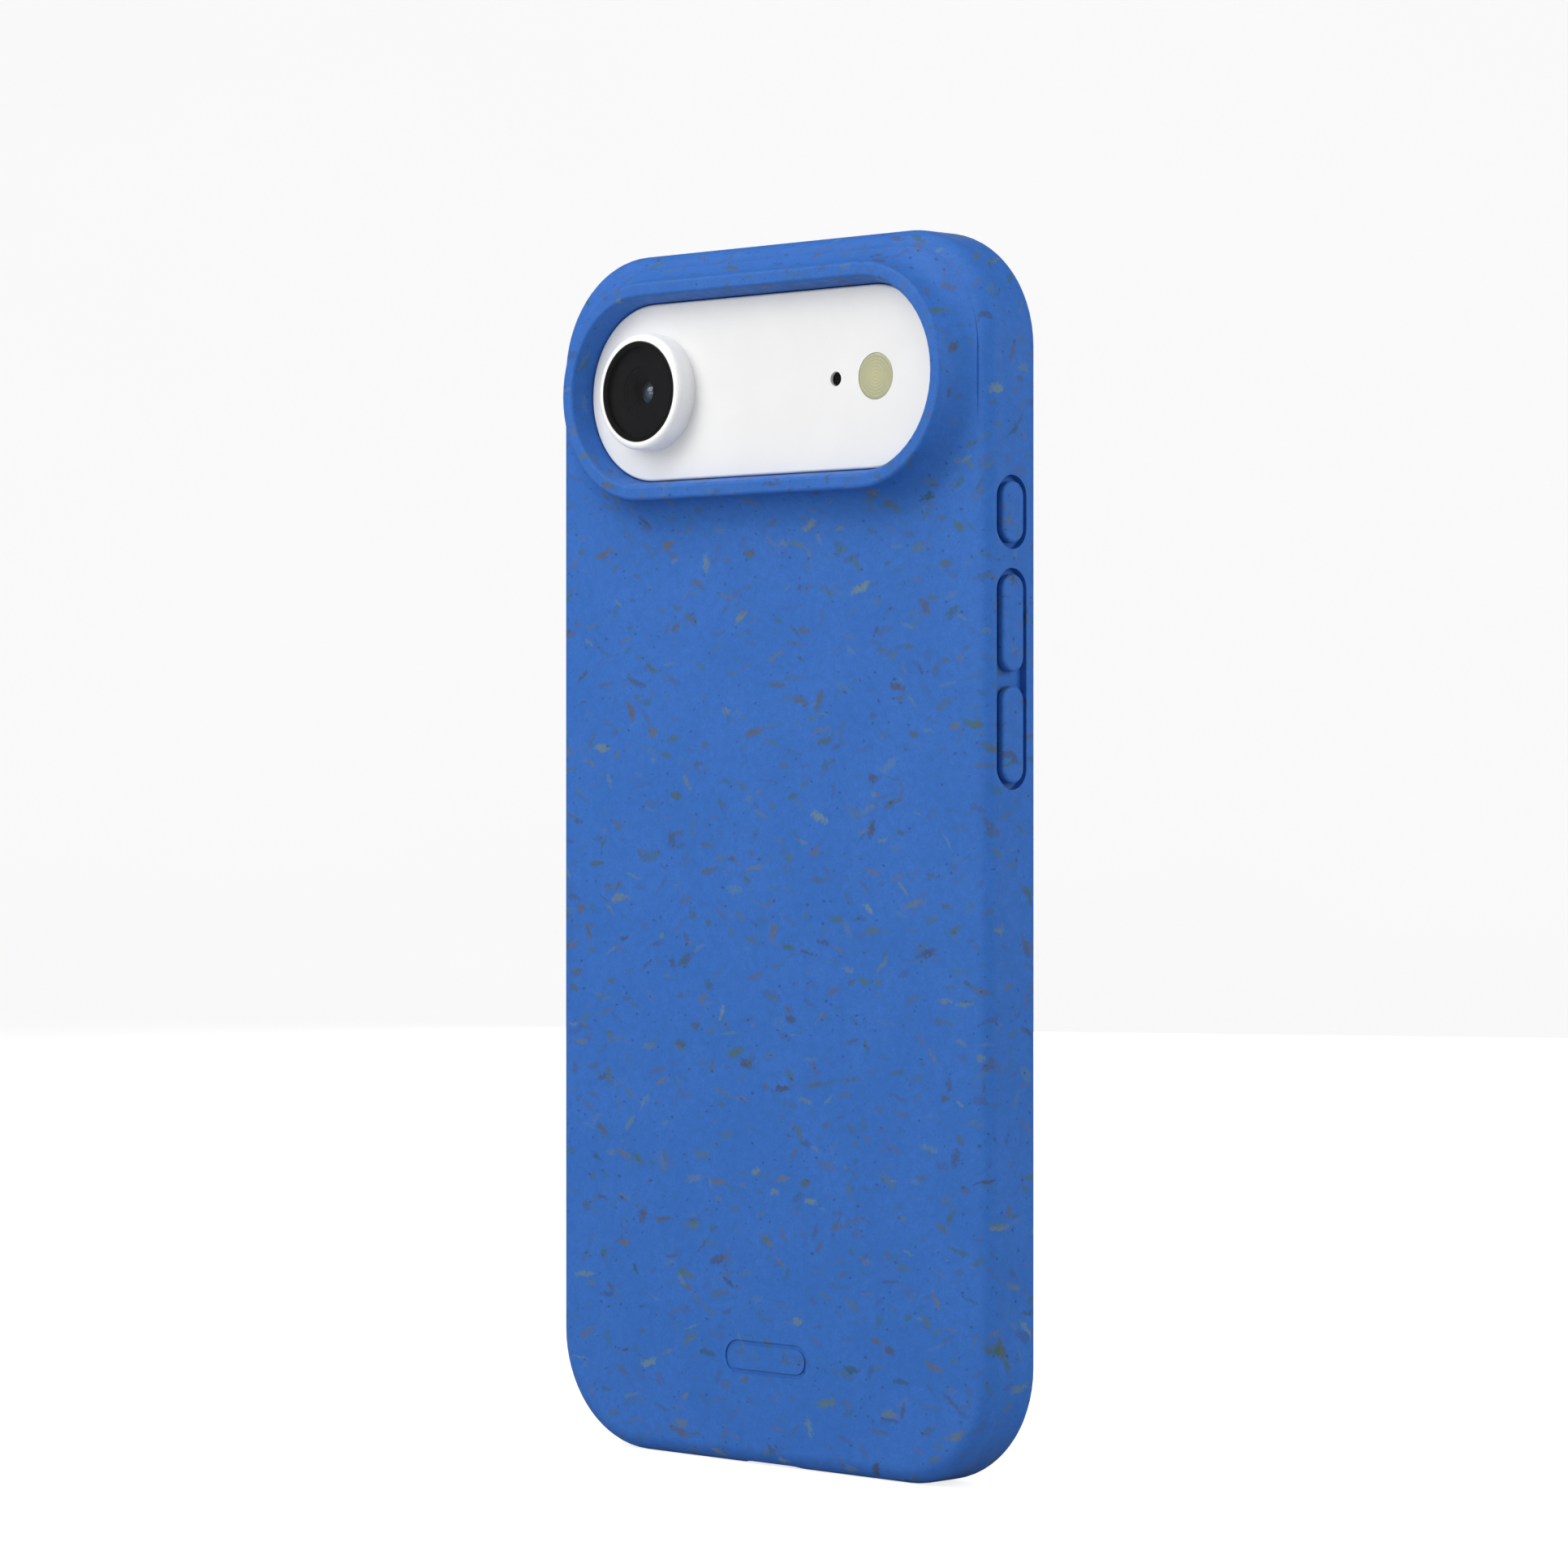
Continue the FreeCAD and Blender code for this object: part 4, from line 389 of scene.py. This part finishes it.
def flash_finish():
    """Frosted flash window with the yellow lamp showing through and fine moulded rings."""
    finish = Finish("flash_glass")
    radius = radius_about(finish, flash_centre)
    rings = finish.maths("SINE", finish.maths("MULTIPLY", radius, 2 * math.pi / FLASH_RING_PITCH))
    colour = finish.mix(finish.between(radius, *LAMP_FADE), (0.47, 0.46, 0.25), (0.41, 0.41, 0.24))
    frost = finish.between(finish.noise(0.5 * MM, 3.0), 0.4, 0.7, 0.0, 0.12)
    colour = finish.mix(frost, colour, (0.55, 0.55, 0.42))
    relief = finish.bump(rings, 0.02 * MM, 0.35)
    return finish.paint(colour, 0.32, relief, Coat_Weight=0.5, Coat_Roughness=0.08)


# Clear field of the front glass: the printed margin round it, its corner radius, and half its soft edge
SCREEN_MARGIN = 1.5 * MM
SCREEN_CORNER = 10.6 * MM
SCREEN_EDGE = 0.03 * MM


def past(finish, place, middle, half):
    """How far place lies past half, on either side of middle, and 0 inside it."""
    away = finish.maths("ABSOLUTE", finish.maths("SUBTRACT", place, middle))
    return finish.maths("MAXIMUM", finish.maths("SUBTRACT", away, half), 0.0)


def screen_glass_finish():
    """Front glass: clear over the display, black printed margin round it."""
    finish = Finish("front_glass")
    split = finish.add("ShaderNodeSeparateXYZ")
    finish.put(split.inputs["Vector"], finish.place)
    x, _, z = split.outputs
    middle = (glass_low + glass_high) / 2
    half = (glass_high - glass_low) / 2
    inset = SCREEN_MARGIN + SCREEN_CORNER
    past_x = past(finish, x, middle.x, half.x - inset)
    past_z = past(finish, z, middle.z, half.z - inset)
    reach = finish.maths("SQRT", finish.maths("ADD", finish.maths("MULTIPLY", past_x, past_x),
                                              finish.maths("MULTIPLY", past_z, past_z)))
    printed = finish.between(reach, SCREEN_CORNER - SCREEN_EDGE, SCREEN_CORNER + SCREEN_EDGE)
    smudge = finish.noise(22 * MM, 5.0)
    finish.paint((0.006, 0.006, 0.007), finish.between(smudge, 0.35, 0.75, 0.03, 0.16))
    clear_part(finish, (0.96, 0.97, 0.98), printed, 0.85)
    return finish.material


DISPLAY_PITCH = 0.11 * MM


def panel_finish():
    """Dark display panel with the fine grid of its lamps."""
    finish = Finish("oled")
    grid = finish.add("ShaderNodeTexChecker")
    finish.put(grid.inputs["Vector"], finish.place)
    finish.put(grid.inputs["Scale"], 1 / DISPLAY_PITCH)
    cloud = finish.noise(30 * MM, 2.0)
    colour = finish.mix(grid.outputs["Fac"], (0.0055, 0.0055, 0.0075), (0.0065, 0.0065, 0.0085))
    colour = finish.mix(finish.between(cloud, 0.3, 0.7, 0.0, 0.4), colour, (0.010, 0.012, 0.020))
    return finish.paint(colour, 0.18)


TRACE_PITCH = 1.8 * MM


def board_finish():
    """Green solder mask with copper traces showing through."""
    finish = Finish("board_green")
    traces = finish.add("ShaderNodeTexBrick")
    finish.put(traces.inputs["Vector"], finish.place)
    finish.put(traces.inputs["Scale"], 1 / TRACE_PITCH)
    finish.put(traces.inputs["Color1"], (0.010, 0.085, 0.045))
    finish.put(traces.inputs["Color2"], (0.014, 0.105, 0.055))
    finish.put(traces.inputs["Mortar"], (0.030, 0.190, 0.085))
    finish.put(traces.inputs["Mortar Size"], 0.03)
    weave = finish.between(finish.noise(0.4 * MM, 2.0), 0.4, 0.8, 0.0, 0.3)
    colour = finish.mix(weave, traces.outputs["Color"], (0.006, 0.05, 0.03))
    return finish.paint(colour, 0.35, finish.bump(traces.outputs["Fac"], 0.02 * MM, 0.5))


def lens_painted_reflection_finish():
    """Coated lens glass with a strong sheen. Its light blue-grey colour, which turns with the angle, is
    partly the coating's tint and partly a painted reflection of the bright surroundings, lightened for the
    light the lens lacks deep in its hole.
    """
    finish = Finish("lens_coating")
    facing = finish.add("ShaderNodeLayerWeight")
    finish.put(facing.inputs["Blend"], 0.45)
    # Painted reflection: this light blue-grey base colour, lightest at middle facing, stands in for the
    # surroundings mirrored in the lens.
    tint = finish.ramp(facing.outputs["Facing"], (
        (0.0, (0.130, 0.200, 0.290)),
        (0.55, (0.170, 0.250, 0.350)),
        (1.0, (0.160, 0.200, 0.280)),
    ))
    cloud = finish.noise(0.8 * MM, 1.0)
    colour = finish.mix(finish.between(cloud, 0.3, 0.7, 0.0, 0.3), tint, (0.025, 0.045, 0.070))
    return finish.paint(colour, 0.05, Coat_Weight=1.0, Coat_Roughness=0.03, Coat_IOR=2.1)


def shroud_finish():
    """Dead black flocked shroud under the lens window, with a faint nap."""
    finish = Finish("shroud_black")
    nap = finish.noise(0.08 * MM, 3.0)
    colour = finish.mix(finish.between(nap, 0.3, 0.7), (0.004, 0.004, 0.004), (0.009, 0.009, 0.010))
    return finish.paint(colour, 0.9, finish.bump(nap, 0.01 * MM, 0.6), Specular_IOR_Level=0.15)


BRIGHT = (0.72, 0.71, 0.69)
STEEL = (0.55, 0.55, 0.55)
FINISHES = {
    "case_blue": case_finish,
    "plateau_white": white_glass_finish,
    "back_glass": lambda: plastic_finish("back_glass", (0.80, 0.80, 0.79), 0.35),
    "ring_white": white_ring_finish,
    "lens_glass": window_finish,
    "flash_glass": flash_finish,
    "front_glass": screen_glass_finish,
    "oled": panel_finish,
    "band_metal": lambda: metal_finish("band_metal", BRIGHT, 0.16, (1.0, 8.0, 0.15)),
    "key_metal": lambda: metal_finish("key_metal", BRIGHT, 0.18, (1.0, 8.0, 0.15)),
    "split_plastic": lambda: plastic_finish("split_plastic", (0.72, 0.72, 0.70), 0.45),
    "sapphire": lambda: plastic_finish("sapphire", (0.62, 0.63, 0.64), 0.10, 0.8 * MM, 0.002 * MM),
    "black_plastic": lambda: plastic_finish("black_plastic", (0.012, 0.012, 0.012), 0.5, 0.12 * MM),
    "mesh_metal": lambda: metal_finish("mesh_metal", (0.012, 0.012, 0.012), 0.6, (1.0, 1.0, 1.0), 0.1 * MM),
    "switch_plastic": lambda: plastic_finish("switch_plastic", (0.03, 0.03, 0.032), 0.45),
    "spring_steel": lambda: metal_finish("spring_steel", STEEL, 0.22, (6.0, 1.0, 0.3)),
    "adhesive": lambda: plastic_finish("adhesive", (0.02, 0.02, 0.02), 0.8, 0.2 * MM, 0.03 * MM),
    "flex_film": lambda: plastic_finish("flex_film", (0.30, 0.12, 0.02), 0.3, 0.5 * MM),
    "plate_steel": lambda: metal_finish("plate_steel", STEEL, 0.35, (0.2, 1.0, 6.0)),
    "battery_foil": lambda: plastic_finish("battery_foil", (0.020, 0.020, 0.022), 0.32, 1.2 * MM, 0.04 * MM),
    "copper": lambda: metal_finish("copper", (0.72, 0.30, 0.15), 0.25, (1.0, 1.0, 1.0), 0.2 * MM),
    "magnet": lambda: metal_finish("magnet", (0.45, 0.45, 0.46), 0.3),
    "board_green": board_finish,
    "chip_black": lambda: plastic_finish("chip_black", (0.02, 0.02, 0.022), 0.55, 0.15 * MM),
    "shield_metal": lambda: metal_finish("shield_metal", (0.62, 0.62, 0.60), 0.28, (0.3, 1.0, 5.0)),
    "screw_steel": lambda: metal_finish("screw_steel", (0.35, 0.35, 0.36), 0.25, (1.0, 1.0, 1.0), 0.1 * MM),
    "lamp": lambda: plastic_finish("lamp", (0.75, 0.62, 0.18), 0.4, 0.2 * MM),
    "module_metal": lambda: metal_finish("module_metal", (0.50, 0.50, 0.51), 0.3, (0.4, 1.0, 4.0)),
    "tungsten": lambda: metal_finish("tungsten", (0.28, 0.28, 0.29), 0.45, (5.0, 1.0, 0.3)),
    "gold": lambda: metal_finish("gold", (0.80, 0.55, 0.20), 0.2, (1.0, 1.0, 1.0), 0.1 * MM),
}


# Nodes that look unlike the rest of their material slot
NODE_FINISHES = {
    "lens_elements": lens_painted_reflection_finish,
    "rear_lens_shroud": shroud_finish,
    "lens_barrel": shroud_finish,
}


def finish_nodes(made):
    """Gives every carried-over CAD node the finish of its material slot, or its own."""
    own = {name: make() for name, make in NODE_FINISHES.items()}
    for part in frame["record"]["subparts"]:
        name = part["node"]
        finish = own.get(name) or made[part["material_slot"]]
        for slot in nodes[name].material_slots:
            slot.link = "OBJECT"
            slot.material = finish


finishes = {name: make() for name, make in FINISHES.items()}
finish_nodes(finishes)


# ---------------------------------------------------------------- snap domes

# Corners closer than this are one
SAME_CORNER = 0.001 * MM


def joined_to(start):
    """All corners that edges join to start, with start itself."""
    reached = {start}
    waiting = [start]
    while waiting:
        corner = waiting.pop()
        for edge in corner.link_edges:
            other = edge.other_vert(corner)
            if other not in reached:
                reached.add(other)
                waiting.append(other)
    return reached


def loose_parts(source):
    """A mesh object's separate solids, each as a list of its faces' corner points."""
    whole = bmesh.new()
    whole.from_mesh(source.data)
    bmesh.ops.remove_doubles(whole, verts=whole.verts, dist=SAME_CORNER)
    parts = []
    done = set()
    for start in whole.verts:
        if start in done:
            continue
        reached = joined_to(start)
        done |= reached
        faces = [face for face in whole.faces if face.verts[0] in reached]
        parts.append([[vert.co.copy() for vert in face.verts] for face in faces])
    whole.free()
    return parts


def build_mesh(name, faces):
    """A mesh of faces given by their corner points, joined where corners meet."""
    mesh = bmesh.new()
    for corners in faces:
        mesh.faces.new([mesh.verts.new(corner) for corner in corners])
    bmesh.ops.remove_doubles(mesh, verts=mesh.verts, dist=SAME_CORNER)
    data = bpy.data.meshes.new(name)
    mesh.to_mesh(data)
    mesh.free()
    return data


def make_snap_domes():
    """One snap dome under each key, split from the switch domes part."""
    keys = {name: sum(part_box(name), Vector()) / 2 for name in nodes if name.endswith("_key")}
    for faces in loose_parts(nodes["switch_domes"]):
        corners = [corner for face in faces for corner in face]
        middle = sum(corners, Vector()) / len(corners)
        key = min(keys, key=lambda name: (keys[name] - middle).length)
        control = key.removesuffix("_key")
        name = f"{control}_dome"
        dome = bpy.data.objects.new(name, build_mesh(name, faces))
        scene.collection.objects.link(dome)
        dome.data.materials.append(finishes["spring_steel"])
        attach(dome, "phone")
        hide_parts("switch_domes")
        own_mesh(dome)


make_snap_domes()


# ---------------------------------------------------------------- floor, light and camera

# Camera: turn from straight behind the case towards -X, then its distance and shift from the case's middle
CAMERA_TURN = math.radians(44.0)
CAMERA_AWAY = 667.65 * MM
CAMERA_SIDE = 0.89 * MM
CAMERA_UP = 9.29 * MM
SENSOR_WIDTH = 36.0
FOCAL_LENGTH = 3.2371 * SENSOR_WIDTH
LOOK = Vector((math.sin(CAMERA_TURN), -math.cos(CAMERA_TURN), 0.0))
UP = Vector((0.0, 0.0, 1.0))
LEFT = UP.cross(LOOK)

# Floor, in metres from the case along the camera's look: near end, where it bends up, the bend's radius
FLOOR_NEAR = -3.0
FLOOR_BENDS = 1.2
FLOOR_BEND_R = 1.0
FLOOR_TOP = 2.6
FLOOR_HALF_WIDTH = 4.0
FLOOR_STEPS = 16

# Glow that only the camera sees, and the light that the surroundings give
FLOOR_GLOW = 0.80
WORLD_GLOW = 1.0
WORLD_LIGHT = 0.28
WHITE = (1.0, 1.0, 1.0, 1.0)

# Soft lamps: turn from straight behind the case towards -X in degrees, then height above the case's
# middle, distance and side in metres, and watts
SOFTBOXES = {
    "key": (-32.0, 0.34, 0.48, 0.40, 1.9),
    "top": (0.0, 0.60, 0.25, 0.40, 1.3),
    "side": (108.0, 0.14, 0.42, 0.36, 0.95),
    "corner": (62.0, 0.10, 0.80, 0.50, 0.75),
    "front": (-14.0, -0.20, 0.90, 0.80, 4.7),
    "screen": (-150.0, 0.20, 1.10, 0.70, 2.5),
}


def floor_finish():
    """Pale studio floor, lit up near white for the camera, with a trace of tone."""
    finish = Finish("floor")
    tone = finish.noise(0.25, 3.0)
    colour = finish.mix(finish.between(tone, 0.3, 0.7), (0.48, 0.48, 0.48), (0.50, 0.50, 0.50))
    finish.paint(colour, 0.85)
    finish.put(finish.surface.inputs["Emission Color"], WHITE)
    seen = finish.add("ShaderNodeLightPath").outputs["Is Camera Ray"]
    finish.put(finish.surface.inputs["Emission Strength"], finish.maths("MULTIPLY", seen, FLOOR_GLOW))
    return finish.material


def make_floor():
    """Seamless sweep: a floor that curves up into a wall far behind the phone."""
    path = [(FLOOR_NEAR, 0.0), (FLOOR_BENDS, 0.0)]
    for step in range(1, FLOOR_STEPS + 1):
        turn = math.radians(90 * step / FLOOR_STEPS)
        reach = FLOOR_BENDS + FLOOR_BEND_R * math.sin(turn)
        path.append((reach, FLOOR_BEND_R * (1 - math.cos(turn))))
    path.append((FLOOR_BENDS + FLOOR_BEND_R, FLOOR_TOP))
    mesh = bmesh.new()
    rows = []
    for reach, height in path:
        middle = LOOK * reach + UP * height
        rows.append([mesh.verts.new(middle + LEFT * side * FLOOR_HALF_WIDTH) for side in (-1, 1)])
    for first, second in zip(rows, rows[1:]):
        mesh.faces.new((first[0], first[1], second[1], second[0])).smooth = True
    data = bpy.data.meshes.new("floor")
    mesh.to_mesh(data)
    mesh.free()
    floor = bpy.data.objects.new("floor", data)
    scene.collection.objects.link(floor)
    data.materials.append(floor_finish())


def softbox(name, turn, height, away, size, watts):
    """Square area light aimed at the case's middle."""
    angle = math.radians(turn)
    outward = Vector((-math.sin(angle), math.cos(angle), 0.0))
    place = case_middle + outward * away + UP * height
    data = bpy.data.lights.new(name, "AREA")
    data.size = size
    data.energy = watts
    light = bpy.data.objects.new(name, data)
    light.location = place
    light.rotation_euler = (case_middle - place).to_track_quat("-Z", "Y").to_euler()
    scene.collection.objects.link(light)


def make_world():
    """Even white surroundings: soft as a light, bright to the camera."""
    world = bpy.data.worlds.new("studio")
    world.use_nodes = True
    tree = world.node_tree
    background = tree.nodes["Background"]
    background.inputs["Color"].default_value = WHITE
    seen = tree.nodes.new("ShaderNodeLightPath")
    strength = tree.nodes.new("ShaderNodeMapRange")
    strength.inputs["To Min"].default_value = WORLD_LIGHT
    strength.inputs["To Max"].default_value = WORLD_GLOW
    tree.links.new(seen.outputs["Is Camera Ray"], strength.inputs["Value"])
    tree.links.new(strength.outputs["Result"], background.inputs["Strength"])
    scene.world = world


def back_plane():
    """Depth of the case's flat back, from the record's mount on it."""
    return next(mount["pos_m"][1] for mount in frame["record"]["mounts"] if mount["name"] == "back_face")


def make_camera():
    """Level camera behind the case, turned towards its button side."""
    slab_middle = Vector((0.0, (shell_low.y + back_plane()) / 2, case_middle.z))
    data = bpy.data.cameras.new("camera")
    data.sensor_width = SENSOR_WIDTH
    data.lens = FOCAL_LENGTH
    data.clip_start = 10 * MM
    camera = bpy.data.objects.new("camera", data)
    camera.location = slab_middle - LOOK * CAMERA_AWAY + LEFT * CAMERA_SIDE + UP * CAMERA_UP
    camera.rotation_euler = LOOK.to_track_quat("-Z", "Y").to_euler()
    scene.collection.objects.link(camera)
    scene.camera = camera


make_floor()
make_camera()
for lamp, numbers in SOFTBOXES.items():
    softbox(lamp, *numbers)
make_world()
scene.view_settings.view_transform = "Standard"
